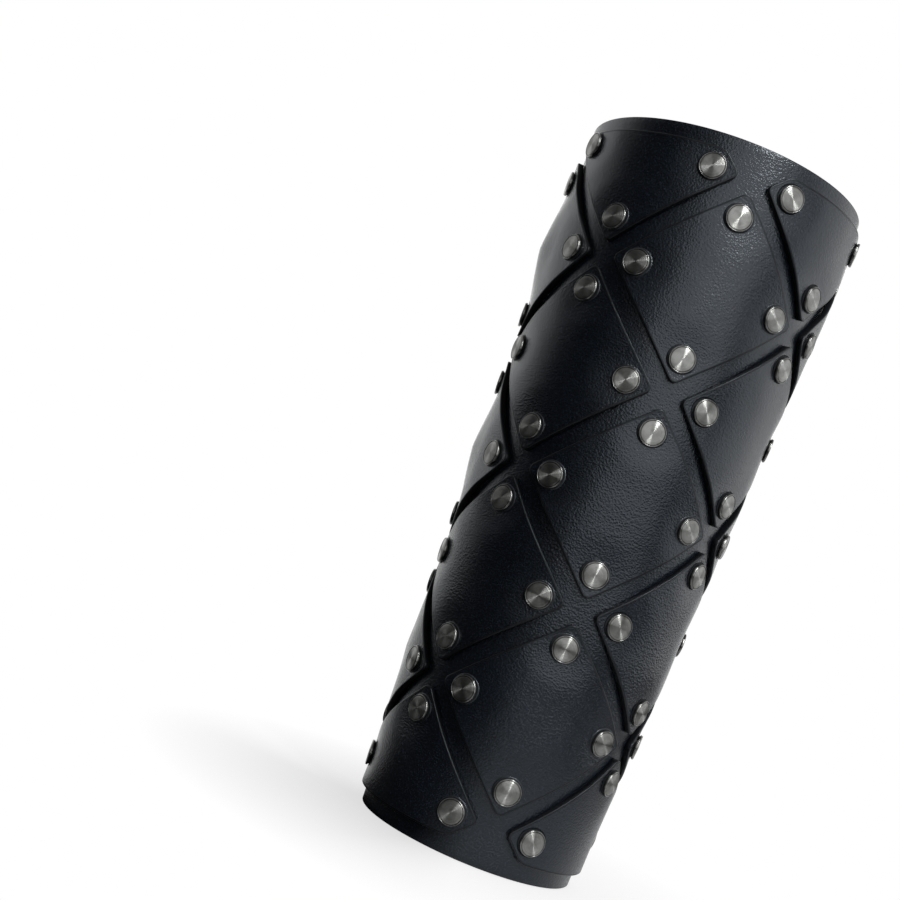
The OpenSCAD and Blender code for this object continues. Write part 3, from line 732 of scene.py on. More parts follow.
class BRACER_OT_lace(bpy.types.Operator):
    """Make the laced run through the eyelets, and the knot that ties it"""

    bl_idname = "bracer.lace"
    bl_label = "Lace and knot"

    # the turn round the middle of the bow: where it starts and how far it goes, in degrees
    TURN_START, TURN_STEP, TURN_STEPS = 150, 30, 14
    TURN_DEPTH, TURN_CLIMB = 0.9 * MM, 1.6 * MM  # how far it comes outwards and climbs
    TURN_LEAN = 0.22  # how far its width leans along the lacing
    TURN_WIDTH, TURN_EASE = 0.92, 0.06  # parts of the lace's width, which varies a little
    # the half-knot under it: its reach past the turn, its millimetres outwards, and its lean
    REACH, OUTWARDS, LEAN = 0.8 * MM, -2.2, 0.15
    # each strand of it: part of the reach, millimetres outwards and up, part of the width
    HALF_KNOT = (
        (1, 0.5, 0, 0.95), (0.6, 0.2, 0.6, 0.8), (0, -0.4, 1.4, 0.7), (-0.5, -0.2, 1.2, 0.6),
        (-0.85, 0.3, 0.6, 0.5),
    )

    def turn(self, route):
        """Stations of the turn round the middle of the bow, which climbs as it winds."""
        lace = route.lace
        made = []
        for k in range(self.TURN_STEPS + 1):
            angle = math.radians(self.TURN_START - k * self.TURN_STEP)
            deep = lace.thickness / 2 + self.TURN_DEPTH * (1 - k / self.TURN_STEPS)
            flat = Vector((
                (lace.knot_width / 2 - deep) * math.cos(angle),
                (lace.knot_depth / 2 - deep) * math.sin(angle),
                (k / self.TURN_STEPS - 0.5) * self.TURN_CLIMB,
            ))
            lean = Vector((self.TURN_LEAN * math.sin(angle), 0, 1)).normalized()
            width = lace.width * (self.TURN_WIDTH + self.TURN_EASE * math.sin(k))
            made.append((route.knot + flat, lean, width))
        return made

    def half_knot(self, route, side):
        """Stations of one strand of the half-knot under the turn."""
        reach = route.lace.knot_width / 2 + self.REACH
        made = []
        for x, y, z, w in self.HALF_KNOT:
            # in the middle one strand lies over the other
            if x == 0:
                y *= side
            off = Vector((side * x * reach, (self.OUTWARDS + y) * MM, side * z * MM))
            lean = Vector((0, self.LEAN * side * x, 1)).normalized()
            made.append((route.knot + off, lean, route.lace.width * w))
        return made

    def execute(self, context):
        route = LaceRoute(context)
        braided_piece("laced_run-braid", [taut(route.whole())], "lace")
        knot = self.turn(route), self.half_knot(route, -1), self.half_knot(route, 1)
        braided_piece("bow_knot-braid", [spline(part) for part in knot], "bow_knot")
        return {"FINISHED"}


# Leather pieces


class BRACER_OT_base_leather(bpy.types.Operator):
    """Make the base leather, rolled from one sheet with rounded, burnished edges"""

    bl_idname = "bracer.base_leather"
    bl_label = "Base leather"

    COLUMNS = 232  # faces round the sheet
    ROW = 2.3 * MM  # height of a row of faces
    ROUNDING = 1.15 * MM  # of the burnished edge
    HOLE = 5 * MM  # radius left open under an eyelet's flange and washer
    SEAT = 9 * MM  # an edge this near an eyelet belongs to its hole, and stays sharp
    FLAT, LOOSE = 6 * MM, 14 * MM  # the leather is flat near an eyelet, and free farther off
    FIRM_RIM = 12 * MM  # the ripples die out towards the rims

    def execute(self, context):
        tube = Tube(context)
        eyelets = [
            Vector((side * tube.eyelet_angle(z), z, 0))
            for side in (-1, 1)
            for z in map(tube.eyelet_height, range(tube.eyelet_count))
        ]
        heights = [tube.edge[0][0]]
        for z, _ in tube.edge[1:]:
            parts = max(1, round((z - heights[-1]) / self.ROW))
            heights += [heights[-1] + (z - heights[-1]) * (k + 1) / parts for k in range(parts)]
        rows = len(heights) - 1

        bm = bmesh.new()
        bmesh.ops.create_grid(bm, x_segments=self.COLUMNS, y_segments=rows, size=1)
        for v in bm.verts:
            z = heights[round((v.co.y + 1) / 2 * rows)]
            v.co = (v.co.x * (math.pi - tube.open_angle(z)), z, 0)

        def away(p, eyelet):
            """Way on the leather from an eyelet to a point, both given as an angle and a height."""
            return Vector(((p.x - eyelet.x) * tube.radius(eyelet.y), p.y - eyelet.y))

        gone = [
            f for f in bm.faces
            if any(away(f.calc_center_median(), e).length < self.HOLE for e in eyelets)
        ]
        bmesh.ops.delete(bm, geom=gone, context="FACES")
        for v in bm.verts:
            if v.is_boundary:
                eyelet = min(eyelets, key=lambda e: away(v.co, e).length)
                off = away(v.co, eyelet)
                if off.length < 2 * self.HOLE:
                    off = off.normalized() * self.HOLE
                    x = eyelet.x + off.x / tube.radius(eyelet.y)
                    v.co = (x, eyelet.y + off.y, 0)
        for v in bm.verts:
            flat = v.co.copy()
            calm = min(ramp(away(flat, e).length, self.FLAT, self.LOOSE) for e in eyelets)
            place = tube.polar(flat.x, flat.y, 0)
            rim = ramp(min(flat.y, tube.length - flat.y), 0, self.FIRM_RIM)
            v.co = tube.polar(flat.x, flat.y, ripple(place) * calm * rim)
        grown = bmesh.ops.extrude_face_region(bm, geom=bm.faces[:], use_keep_orig=True)["geom"]
        inner = {g for g in grown if isinstance(g, bmesh.types.BMVert)}
        for v in inner:
            out = Vector((v.co.x, v.co.y, 0)).normalized()
            v.co -= out * tube.thickness
        bmesh.ops.recalc_face_normals(bm, faces=bm.faces)
        # materials: 0 is the grain side, 1 the cut edge and 2 the flesh side
        for f in bm.faces:
            deep = sum(v in inner for v in f.verts)
            f.material_index = 2 if deep == len(f.verts) else 1 if deep else 0
        holes = [tube.polar(e.x, e.y, 0) for e in eyelets]
        rim = [
            e for e in bm.edges
            if {f.material_index for f in e.link_faces} in ({0, 1}, {1, 2})
            and min((e.verts[0].co - h).length for h in holes) > self.SEAT
        ]
        bmesh.ops.bevel(
            bm, geom=rim, offset=self.ROUNDING, offset_type="OFFSET", segments=4, profile=0.5,
            affect="EDGES", clamp_overlap=True, material=1,
        )
        sides = full_grain_leather, burnished_leather_edge, dyed_flesh_side
        finish_piece(
            "base_leather-sheet", bm, [side(context) for side in sides], "base_leather",
            "base_leather",
        )
        return {"FINISHED"}


class BRACER_OT_panels(bpy.types.Operator):
    """Make the riveted diamond panels, cut flat and wrapped round the tube"""

    bl_idname = "bracer.panels"
    bl_label = "Diamond panels"

    CELL = 1.6 * MM  # spacing of the cuts that let a panel bend
    SNAP = 0.02 * MM  # a cut this near a corner goes through it
    LAP = 0.4 * MM  # the edge dye laps over the face by this
    HELD = 3.2  # the leather is free of a rivet at this many radii of its cap
    LIFT, VARIES = 0.45, 0.4  # millimetres that it lifts where it is free, and their change
    LIFT_WAVES = 22  # per metre
    BULGE_START = -12 * MM  # a side panel bulges from here to its cut edge
    BULGE_ENDS = 3 * MM  # and this far short of its upright rivets
    DIMPLE, DIMPLE_REACH = 0.15 * MM, 1.25  # depth under a cap, and reach in its radii

    def flat_panel(self, context, tube, column, row, cut):
        """Bevelled panel in the flat, its centre at the origin."""
        panels = context.scene.bracer_panels
        plan = PanelPlan(context)
        bm = bmesh.new()
        bmesh.ops.create_circle(bm, cap_ends=True, radius=plan.reach, segments=4)
        if cut == "side":
            plane = Vector((panels.side_margin, 0, 0)), Vector((1, 0, 0))
        elif cut:
            rim = tube.length - panels.rim_margin if cut == "elbow" else panels.rim_margin
            s = tube.slant + rim / math.cos(tube.half_cone)
            up = math.sqrt(s * s - (column * plan.pitch) ** 2)
            outwards = Vector((column * plan.pitch, up, 0)).normalized()
            plane = (
                Vector((0, up - tube.slant - row, 0)), outwards if cut == "elbow" else -outwards
            )
        if cut:
            bmesh.ops.bisect_plane(
                bm, geom=bm.verts[:] + bm.edges[:] + bm.faces[:], dist=TOUCHING,
                plane_co=plane[0], plane_no=plane[1], clear_outer=True,
            )
        bmesh.ops.bevel(
            bm, geom=bm.verts[:], offset=panels.corner, offset_type="OFFSET", segments=5,
            profile=0.5, affect="VERTICES", clamp_overlap=True, material=-1,
        )
        grown = bmesh.ops.extrude_face_region(bm, geom=bm.faces[:], use_keep_orig=True)["geom"]
        top = [g for g in grown if isinstance(g, bmesh.types.BMVert)]
        bmesh.ops.translate(bm, vec=(0, 0, panels.thickness), verts=top)
        bmesh.ops.recalc_face_normals(bm, faces=bm.faces)
        for f in bm.faces:
            f.material_index = 1 if abs(f.normal.z) < 0.5 else 0
        half = panels.thickness / 2
        upper = [e for e in bm.edges if all(v.co.z > half for v in e.verts)]
        bmesh.ops.bevel(
            bm, geom=upper, offset=panels.edge, offset_type="OFFSET", segments=3, profile=0.5,
            affect="EDGES", clamp_overlap=True, material=1,
        )
        lid = [f for f in bm.faces if f.material_index == 0 and f.normal.z > 0.9]
        lap = bmesh.ops.inset_region(bm, faces=lid, thickness=self.LAP, use_even_offset=True)
        for f in lap["faces"]:
            f.material_index = 1
        for axis in (0, 1):
            way = Vector((1 - axis, axis, 0))
            cuts = int(plan.reach / self.CELL)
            for k in range(-cuts, cuts + 1):
                bmesh.ops.bisect_plane(
                    bm, geom=bm.verts[:] + bm.edges[:] + bm.faces[:], dist=self.SNAP,
                    plane_co=way * k * self.CELL, plane_no=way,
                )
        return bm

    def execute(self, context):
        tube, plan = Tube(context), PanelPlan(context)
        panels = context.scene.bracer_panels
        cap = context.scene.bracer_fasteners.cap_diameter / 2
        materials = [full_grain_leather(context), burnished_leather_edge(context)]
        for node, side, column, row, places, cut in plan.panels():
            bm = self.flat_panel(context, tube, column, row, cut)
            pattern = bm.loops.layers.uv.new("flat")
            for face in bm.faces:
                for loop in face.loops:
                    # U and V in millimetres from the panel's centre, in the flat pattern
                    loop[pattern].uv = (loop.vert.co.x / MM, loop.vert.co.y / MM)
            rivets = [Vector((x, y, 0)) for x, y in places]
            for v in bm.verts:
                flat = Vector((v.co.x, v.co.y, 0))
                place = tube.wrap(column * plan.pitch + flat.x, row + flat.y, 0)
                place.x *= side
                near = min((flat - r).length for r in rivets)
                free = ramp(near, cap, self.HELD * cap)
                # the leather lifts a little between its rivets, in waves some 45 mm long
                wave = noise.noise(place * self.LIFT_WAVES)
                lift = ((self.LIFT + self.VARIES * wave) * MM + ripple(place)) * free
                if cut == "side":
                    along = ramp(plan.top[1] - self.BULGE_ENDS - abs(flat.y), 0, plan.top[1])
                    outer = ramp(flat.x, self.BULGE_START, panels.side_margin)
                    lift += panels.side_lift * along * outer
                if v.co.z > panels.thickness / 2:
                    lift -= self.DIMPLE * math.exp(-((near / (self.DIMPLE_REACH * cap)) ** 4))
                v.co = tube.wrap(column * plan.pitch + flat.x, row + flat.y, v.co.z + lift)
                v.co.x *= side
            bmesh.ops.recalc_face_normals(bm, faces=bm.faces)
            finish_piece(f"{node}-leather", bm, materials, "panel_leather", node)
        return {"FINISHED"}


# Rivets and eyelets


class BRACER_OT_rivets(bpy.types.Operator):
    """Make the rivet caps outside and the tubular posts inside"""

    bl_idname = "bracer.rivets"
    bl_label = "Rivets"

    SUNK = 0.5  # millimetres of a cap's height that are pressed into the leather
    WALL = 0.6  # millimetres
    AROUND_CAP, AROUND_POST = 40, 28  # faces

    def execute(self, context):
        tube, plan = Tube(context), PanelPlan(context)
        fasteners = context.scene.bracer_fasteners
        panel = context.scene.bracer_panels.thickness
        r, h = fasteners.cap_diameter / 2 / MM, fasteners.cap_height / MM - self.SUNK
        # a slightly domed crown, the groove inside the rim, the rolled rim and the underside
        cap = spun([
            (0, h), (0.25 * r, h - 0.01), (0.5 * r, h - 0.05), (0.75 * r, h - 0.14),
            (r - 0.62, h - 0.2), (r - 0.52, h - 0.26), (r - 0.46, h - 0.38), (r - 0.4, h - 0.36),
            (r - 0.33, h - 0.22), (r - 0.22, h - 0.17), (r - 0.1, h - 0.24), (r - 0.02, h - 0.42),
            (r, h - 0.6), (r - 0.06, h - 0.84), (r - 0.24, h - 1.02), (r - 0.5, h - 1.1),
            (r - 0.55, -0.15), (0, -0.15),
        ], self.AROUND_CAP)
        flange, bore = fasteners.post_flange / 2 / MM, fasteners.post_bore / 2 / MM
        barrel = bore + self.WALL
        for group in ("front", "left", "right", "left_side", "right_side"):
            caps, posts = bmesh.new(), bmesh.new()
            for side, x, y in plan.rivets(group):
                place = tube.wrap(x, y, 0)
                place.x *= side
                seat = tube.on_leather(place)
                set_down(caps, cap, seat @ Matrix.Translation((0, 0, panel)))
                depth = (tube.thickness + tube.sag(place.z, fasteners.post_flange)) / MM
                # the rolled mouth, the flange on the flesh side, and the tube up to the cap
                post = spun([
                    (bore, -depth - 0.35), (bore + 0.2, -depth - 0.6), (bore + 0.55, -depth - 0.7),
                    (flange - 0.5, -depth - 0.66), (flange - 0.15, -depth - 0.52),
                    (flange, -depth - 0.3), (flange - 0.1, -depth - 0.1),
                    (flange - 0.3, -depth + 0.05), (barrel, -depth + 0.05),
                    (barrel, panel / MM - 0.1), (bore, panel / MM - 0.1),
                ], self.AROUND_POST)
                set_down(posts, post, seat)
                bpy.data.meshes.remove(post)
            for node, bm, metal in (
                (f"{group}_rivet_caps", caps, circular_brushed_nickel),
                (f"{group}_rivet_posts", posts, tumbled_nickel),
            ):
                finish_piece(f"{node}-nickel", bm, [metal(context)], "rivet_nickel", node)
        bpy.data.meshes.remove(cap)
        return {"FINISHED"}


class BRACER_OT_eyelets(bpy.types.Operator):
    """Make the eyelets, with their rolled flanges outside and washers inside"""

    bl_idname = "bracer.eyelets"
    bl_label = "Eyelets"

    AROUND_EYELET, AROUND_WASHER = 48, 40  # faces

    def execute(self, context):
        tube = Tube(context)
        fasteners = context.scene.bracer_fasteners
        rim, bore = fasteners.eyelet_flange / 2 / MM, fasteners.eyelet_bore / 2 / MM
        for side, word in ((-1, "left"), (1, "right")):
            eyelets, washers = bmesh.new(), bmesh.new()
            for i in range(tube.eyelet_count):
                z = tube.eyelet_height(i)
                depth = (tube.thickness + tube.sag(z, fasteners.washer_diameter)) / MM
                under = -depth - LaceRoute.WASHER / MM  # the face that the barrel flares over
                # the flange and its rolled bead, the funnel, the barrel, and its flare inside
                ring = spun([
                    (rim - 0.2, -0.45), (rim - 0.03, -0.25), (rim, 0.02), (rim - 0.05, 0.3),
                    (rim - 0.17, 0.48), (rim - 0.32, 0.58), (rim - 0.42, 0.72), (rim - 0.56, 0.96),
                    (rim - 0.78, 1.13), (rim - 1.05, 1.2), (rim - 1.32, 1.19), (rim - 1.6, 1.08),
                    (rim - 1.85, 0.86), (rim - 2.08, 0.52), (bore + 0.34, 0.1), (bore + 0.16, -0.5),
                    (bore + 0.03, -1.4), (bore, under + 0.1), (bore + 0.08, under - 0.2),
                    (bore + 0.35, under - 0.45), (bore + 0.8, under - 0.5),
                    (bore + 1.25, under - 0.35), (bore + 1.45, under - 0.05),
                    (bore + 1.3, under + 0.05), (bore + 0.5, under + 0.05), (bore + 0.5, -0.45),
                ], self.AROUND_EYELET)
                washer = spun([
                    (bore + 0.6, -depth), (bore + 0.6, under + 0.1), (bore + 0.7, under),
                    (rim - 0.45, under), (rim - 0.28, under + 0.1), (rim - 0.25, under + 0.3),
                    (rim - 0.28, -depth),
                ], self.AROUND_WASHER)
                seat = tube.on_leather(tube.eyelet_place(side, i))
                set_down(eyelets, ring, seat)
                set_down(washers, washer, seat)
                bpy.data.meshes.remove(ring)
                bpy.data.meshes.remove(washer)
            metal = [plated_nickel(context)]
            for node, bm in ((f"{word}_eyelets", eyelets), (f"{word}_eyelet_washers", washers)):
                finish_piece(f"{node}-nickel", bm, metal, "eyelet_nickel", node)
        return {"FINISHED"}


# Materials


def add_node(tree, kind, inputs=(), out=0, **settings):
    """Adds a shader node, and gives back one of its outputs if it has any.

    The inputs are in the node's own order, or keyed by name or number. Each of them is a value,
    or an output of another node to link.
    """
    node = tree.nodes.new(f"ShaderNode{kind}")
    for name, value in settings.items():
        setattr(node, name, value)
    keyed = inputs if isinstance(inputs, dict) else dict(enumerate(inputs))
    for name, value in keyed.items():
        if isinstance(value, bpy.types.NodeSocket):
            tree.links.new(value, node.inputs[name])
        else:
            node.inputs[name].default_value = value
    return node.outputs[out] if node.outputs else None


# a colour between two others: the inputs 0, 6 and 7 are how far, from and to
BLEND = {"out": 2, "data_type": "RGBA"}


def surface(describe):
    """Makes the material that a function describes by the inputs of its Principled shader."""

    def material_of(context):
        name = describe.__name__
        material = bpy.data.materials.get(name)
        if material is None:
            material = bpy.data.materials.new(name)
            material.use_nodes = True
            material.node_tree.nodes.clear()
            add = partial(add_node, material.node_tree)
            shader = add("BsdfPrincipled", describe(context.scene, add))
            add("OutputMaterial", {"Surface": shader})
        return material

    return material_of


def shade(colour, factor):
    return (*[c * factor for c in colour[:3]], 1)


# the dye lets the finish reflect a little cooler than the light
FINISH = (0.84, 0.92, 1.0, 1.0)


@surface
def full_grain_leather(scene, add):
    """Drum-dyed full-grain cowhide with a thin satin finish.

    The eye sees near-black with a cool tinge, broad soft reflections, and a fine pebble that
    breaks up the edges of the highlights.
    """
    colour, fasteners = scene.bracer_leather.grain_colour, scene.bracer_fasteners
    place = add("TexCoord", out="Object")
    # pebbles are about 0.45 mm across, and are drawn 0.7 mm wide so that they show in the render
    pebble = add(
        "TexVoronoi", {"Vector": place, "Scale": 1 / (0.7 * MM), "Smoothness": 0.5},
        feature="SMOOTH_F1",
    )
    pores = add("TexNoise", {"Vector": place, "Scale": 1 / (0.35 * MM), "Detail": 2})
    # creases 3 mm apart, and slow changes of the dye over 30 mm
    crease = add("TexNoise", {
        "Vector": place, "Scale": 1 / (3 * MM), "Detail": 4, "Roughness": 0.6, "Distortion": 0.8,
    })
    cloud = add("TexNoise", {"Vector": place, "Scale": 1 / (30 * MM), "Detail": 3})
    grain = add("Math", (pebble, 1.1), operation="MULTIPLY")
    for part, depth in ((pores, 0.6), (crease, 0.15)):
        grain = add("Math", (part, depth, grain), operation="MULTIPLY_ADD")
    # the setting tool presses the leather down in a ring round each rivet of a panel; the same ring
    # also carries a painted shade, the cap's contact shadow
    reach, cap = fasteners.rivet_reach / MM, fasteners.cap_diameter / 2 / MM
    # the panel is alike on all its sides, so folding its pattern leaves two rivets
    folded = add("VectorMath", (add("UVMap", uv_map="flat"),), operation="ABSOLUTE")
    near = add("Math", [
        add("VectorMath", (folded, rivet), out="Value", operation="DISTANCE")
        for rivet in ((reach, 0, 0), (0, reach, 0))
    ], operation="MINIMUM")
    pressed_ring_and_shade = add("MapRange", (near, cap + 0.15, cap + 0.5, 1, 0))
    ring = add("Bump", {"Height": pressed_ring_and_shade, "Strength": 1, "Distance": 0.3 * MM}, invert=True)
    # the base tone is uneven at random and paler on the tips of the grain, and the ring round each
    # rivet is darkened by a painted shade
    uneven = add("MapRange", (cloud, 0.35, 0.65, 0, 1))
    base_tone = add("Mix", {0: uneven, 6: shade(colour, 0.75), 7: shade(colour, 1.25)}, **BLEND)
    # pale grain tips: partly real wear, and partly a painted sparkle that stands in for the
    # finish's glints
    pale_tips_and_sparkle = add("MapRange", (pores, 0.56, 0.7, 0, 0.7))
    base_tone = add("Mix", {0: pale_tips_and_sparkle, 6: base_tone, 7: shade(colour, 8)}, **BLEND)
    # painted shade: the leather round each cap is darkened as the cap's contact shadow
    base_tone = add("Mix", {0: pressed_ring_and_shade, 6: base_tone, 7: shade(colour, 0.2)}, **BLEND)
    matt = add("Math", (
        add("MapRange", (cloud, 0.3, 0.7, 0.2, 0.26)),
        add("MapRange", (crease, 0.3, 0.7, -0.02, 0.03)),
    ), operation="ADD")
    return {
        "Base Color": base_tone, "IOR": 1.5, "Specular Tint": FINISH,
        "Roughness": add("Math", (pressed_ring_and_shade, 0.45, matt), operation="MULTIPLY_ADD"),
        "Normal": add("Bump", {
            "Height": grain, "Strength": 1, "Distance": 0.08 * MM, "Normal": ring,
        }),
    }


@surface
def burnished_leather_edge(scene, add):
    """Cut edge of the same hide, dyed, waxed and rubbed smooth.

    It has a duller sheen than the face, and faint layers of fibre along the cut.
    """
    colour = scene.bracer_leather.edge_colour
    place = add("TexCoord", out="Object")
    fibre = add("TexNoise", {"Vector": place, "Scale": 1 / (0.7 * MM), "Detail": 3})
    layers = add("MapRange", (fibre, 0.35, 0.7, 0, 1))
    return {
        "Base Color": add("Mix", {
            0: layers, 6: shade(colour, 0.8), 7: shade(colour, 1.7),
        }, **BLEND),
        "Roughness": add("MapRange", (fibre, 0.3, 0.7, 0.28, 0.4)),
        "IOR": 1.5, "Specular IOR Level": 0.3, "Specular Tint": FINISH,
        "Normal": add("Bump", {"Height": fibre, "Strength": 0.4, "Distance": 0.06 * MM}),
    }


@surface
def dyed_flesh_side(scene, add):
    """Dyed flesh side of the hide, skived but not sealed.

    It is dull dark grey with a short nap, which lightens it at a glancing angle.
    """
    colour, length = scene.bracer_leather.flesh_colour, scene.bracer_leather.length
    place = add("TexCoord", out="Object")
    nap = add("TexNoise", {
        "Vector": place, "Scale": 1 / (0.8 * MM), "Detail": 5, "Roughness": 0.7,
    })
    patch = add("TexNoise", {"Vector": place, "Scale": 1 / (14 * MM), "Detail": 4})
    tufts = add("MapRange", (nap, 0.35, 0.7, 0, 1))
    base_tone = add("Mix", {0: tufts, 6: shade(colour, 0.6), 7: shade(colour, 1.5)}, **BLEND)
    thin = add("MapRange", (patch, 0.4, 0.65, 0, 0.5))
    base_tone = add("Mix", {0: thin, 6: base_tone, 7: shade(colour, 0.7)}, **BLEND)
    # painted shade: the flesh side darkens from the two openings towards the middle of the tube,
    # where less light reaches inside
    inwards = add("Math", (add("SeparateXYZ", (place,), out="Z"), length / 2), operation="PINGPONG")
    deep = add("MapRange", (inwards, 0, 0.3 * length, 0, 0.85))
    return {
        "Base Color": add("Mix", {0: deep, 6: base_tone, 7: shade(colour, 0.15)}, **BLEND),
        "Roughness": 0.85, "IOR": 1.45, "Sheen Weight": 0.15, "Sheen Roughness": 0.5,
        "Normal": add("Bump", {"Height": nap, "Strength": 0.7, "Distance": 0.15 * MM}),
    }


@surface
def circular_brushed_nickel(scene, add):
    """Antique nickel plate, brushed in circles on a lathe.

    Fine rings stretch each reflection into a bright streak across the cap, and the plate is
    darker in spots where the lacquer let it tarnish.
    """
    colour = scene.bracer_fasteners.cap_colour
    brush = add("UVMap", uv_map="brush")
    place = add("TexCoord", out="Object")
    # grooves are some 0.05 mm apart, and are drawn 0.15 mm apart so that they show
    drawn_out = add("Mapping", {"Vector": brush, "Scale": (1, 0.3, 1)})
    rings = add("TexNoise", {"Vector": drawn_out, "Scale": 1 / 0.15, "Detail": 3})
    spots = add("TexNoise", {"Vector": place, "Scale": 1 / (2.5 * MM), "Detail": 4})
    tarnish = add("MapRange", (spots, 0.45, 0.66, 0, 0.55))
    metal = add("Mix", {0: tarnish, 6: colour, 7: shade(colour, 0.4)}, **BLEND)
    deep = add("MapRange", (rings, 0.35, 0.7, 0, 0.6))
    metal = add("Mix", {0: deep, 6: metal, 7: shade(colour, 0.55)}, **BLEND)
    # painted shade: the groove inside the rim is darkened where its shade falls
    groove = scene.bracer_fasteners.cap_diameter / 2 / MM - 0.44
    radius = add("SeparateXYZ", (brush,), out="X")
    off = add("Math", (radius, groove), operation="SUBTRACT")
    off = add("Math", (off,), operation="ABSOLUTE")
    groove_shade = add("MapRange", (off, 0.1, 0.24, 0.75, 0))
    return {
        "Base Color": add("Mix", {0: groove_shade, 6: metal, 7: shade(colour, 0.12)}, **BLEND),
        "Metallic": 1, "Roughness": add("MapRange", (rings, 0.3, 0.7, 0.3, 0.36)),
        "Anisotropic": 1,
        "Tangent": add("Tangent", direction_type="UV_MAP", uv_map="brush"),
    }


@surface
def plated_nickel(scene, add):
    """Nickel plate over pressed brass, as it comes from the plating drum.

    It has clear reflections with a warm tinge, and fine handling marks.
    """
    fasteners = scene.bracer_fasteners
    colour = fasteners.eyelet_colour
    place = add("TexCoord", out="Object")
    marks = add("TexNoise", {
        "Vector": place, "Scale": 1 / (0.9 * MM), "Detail": 5, "Roughness": 0.65,
    })
    handled = add("MapRange", (marks, 0.45, 0.75, 0, 0.3))
    metal = add("Mix", {0: handled, 6: colour, 7: shade(colour, 0.6)}, **BLEND)
    # painted shade: the metal is darkened in the corner beside the leather and down the barrel,
    # where shade falls
    rim, bore = fasteners.eyelet_flange / 2 / MM, fasteners.eyelet_bore / 2 / MM
    radius = add("SeparateXYZ", (add("UVMap", uv_map="brush"),), out="X")
    unshaded = add("Math", (
        add("MapRange", (radius, bore + 0.08, bore + 0.4, 0, 1)),
        add("MapRange", (radius, rim - 0.36, rim - 0.22, 1, 0)),
    ), operation="MULTIPLY")
    return {
        # painted shade in the corner and the bore, clean plate elsewhere
        "Base Color": add("Mix", {0: unshaded, 6: shade(colour, 0.08), 7: metal}, **BLEND),
        "Metallic": 1, "Roughness": add("MapRange", (marks, 0.3, 0.7, 0.1, 0.17)),
        "Normal": add("Bump", {"Height": marks, "Strength": 0.1, "Distance": 0.03 * MM}),
    }


@surface
def tumbled_nickel(scene, add):
    """Nickel-plated steel of the posts, dulled by tumbling.

    It is an even pale grey with hardly a highlight.
    """
    colour = scene.bracer_fasteners.post_colour
    place = add("TexCoord", out="Object")
    grit = add("TexNoise", {"Vector": place, "Scale": 1 / (0.4 * MM), "Detail": 4})
    worn = add("MapRange", (grit, 0.4, 0.7, 0, 0.4))
    return {
        "Base Color": add("Mix", {0: worn, 6: colour, 7: shade(colour, 0.7)}, **BLEND),
        "Metallic": 0.6, "Roughness": add("MapRange", (grit, 0.3, 0.7, 0.4, 0.55)),
        "Normal": add("Bump", {"Height": grit, "Strength": 0.3, "Distance": 0.04 * MM}),
    }


@surface
def waxed_flat_braid(scene, add):
    """Flat braid of waxed polyester yarn, dyed black.

    Its plaits run lengthwise, each a row of slanted stitches, and the crowns of the stitches
    carry small pale flecks: partly rubbed wax, partly painted glints for the light they catch.
    """
    lace = scene.bracer_lace
    place = add("TexCoord", out="Object")
    coords = add("UVMap", uv_map="braid")
    plait = add("SeparateXYZ", (coords,), out="X")
    plait = add("Math", (plait, lace.width / MM / COLUMNS), operation="DIVIDE")
    within = add("Math", (plait,), operation="FRACT")
    # the stitches of one plait lean one way, and those of the next the other way
    odd = add("Math", (plait,), operation="FLOOR")
    odd = add("Math", (odd, 1), operation="PINGPONG")
    way = add("Math", (odd, 2, -1), operation="MULTIPLY_ADD")
    lean = add("Math", (within, way), operation="MULTIPLY")
    along = add("SeparateXYZ", (coords,), out="Y")
    along = add("Math", (along, STITCH / MM), operation="DIVIDE")
    along = add("Math", (lean, SLANT, along), operation="MULTIPLY_ADD")

    # crowns of the stitches, ridges of the plaits, and the yarns side by side in a stitch
    waves = []
    for turns, count in ((along, 1), (within, 1), (along, PLIES)):
        wave = add("Math", (turns, math.pi * count), operation="MULTIPLY")
        for operation in ("SINE", "ABSOLUTE"):
            wave = add("Math", (wave,), operation=operation)
        waves.append(wave)
    crown, ridge, ply = waves
    stitch = add("Math", (crown, ridge), operation="MULTIPLY")
    # loose fibres are drawn 0.45 mm thick so that they show; some stretches are rubbed more
    fibre = add("TexNoise", {"Vector": place, "Scale": 1 / (0.45 * MM), "Detail": 3})
    rubbed = add("TexNoise", {"Vector": place, "Scale": 1 / (6 * MM), "Detail": 3})
    # painted glints, partly rubbed wear, on the crowns of the stitches
    worn_glint = add("MapRange", (stitch, 0.15, 0.6, 0, 1))
    for shown in ((fibre, 0.46, 0.6, 0, 1), (ply, 0.4, 0.95, 0, 1), (rubbed, 0.35, 0.7, 0.25, 0.9)):
        worn_glint = add("Math", (worn_glint, add("MapRange", shown)), operation="MULTIPLY")
    yarn = add("Math", (fibre, ply), operation="MULTIPLY")
    height = add("Math", (yarn, 0.8, stitch), operation="MULTIPLY_ADD")
    return {
        "Base Color": add("Mix", {0: worn_glint, 6: lace.colour, 7: lace.worn_glint_colour}, **BLEND),
        "Roughness": add("MapRange", (stitch, 0, 1, 0.55, 0.28)),
        "IOR": 1.45, "Specular IOR Level": 0.3, "Specular Tint": FINISH,
        "Normal": add("Bump", {"Height": height, "Strength": 0.9, "Distance": 0.3 * MM}),
    }


# Stage


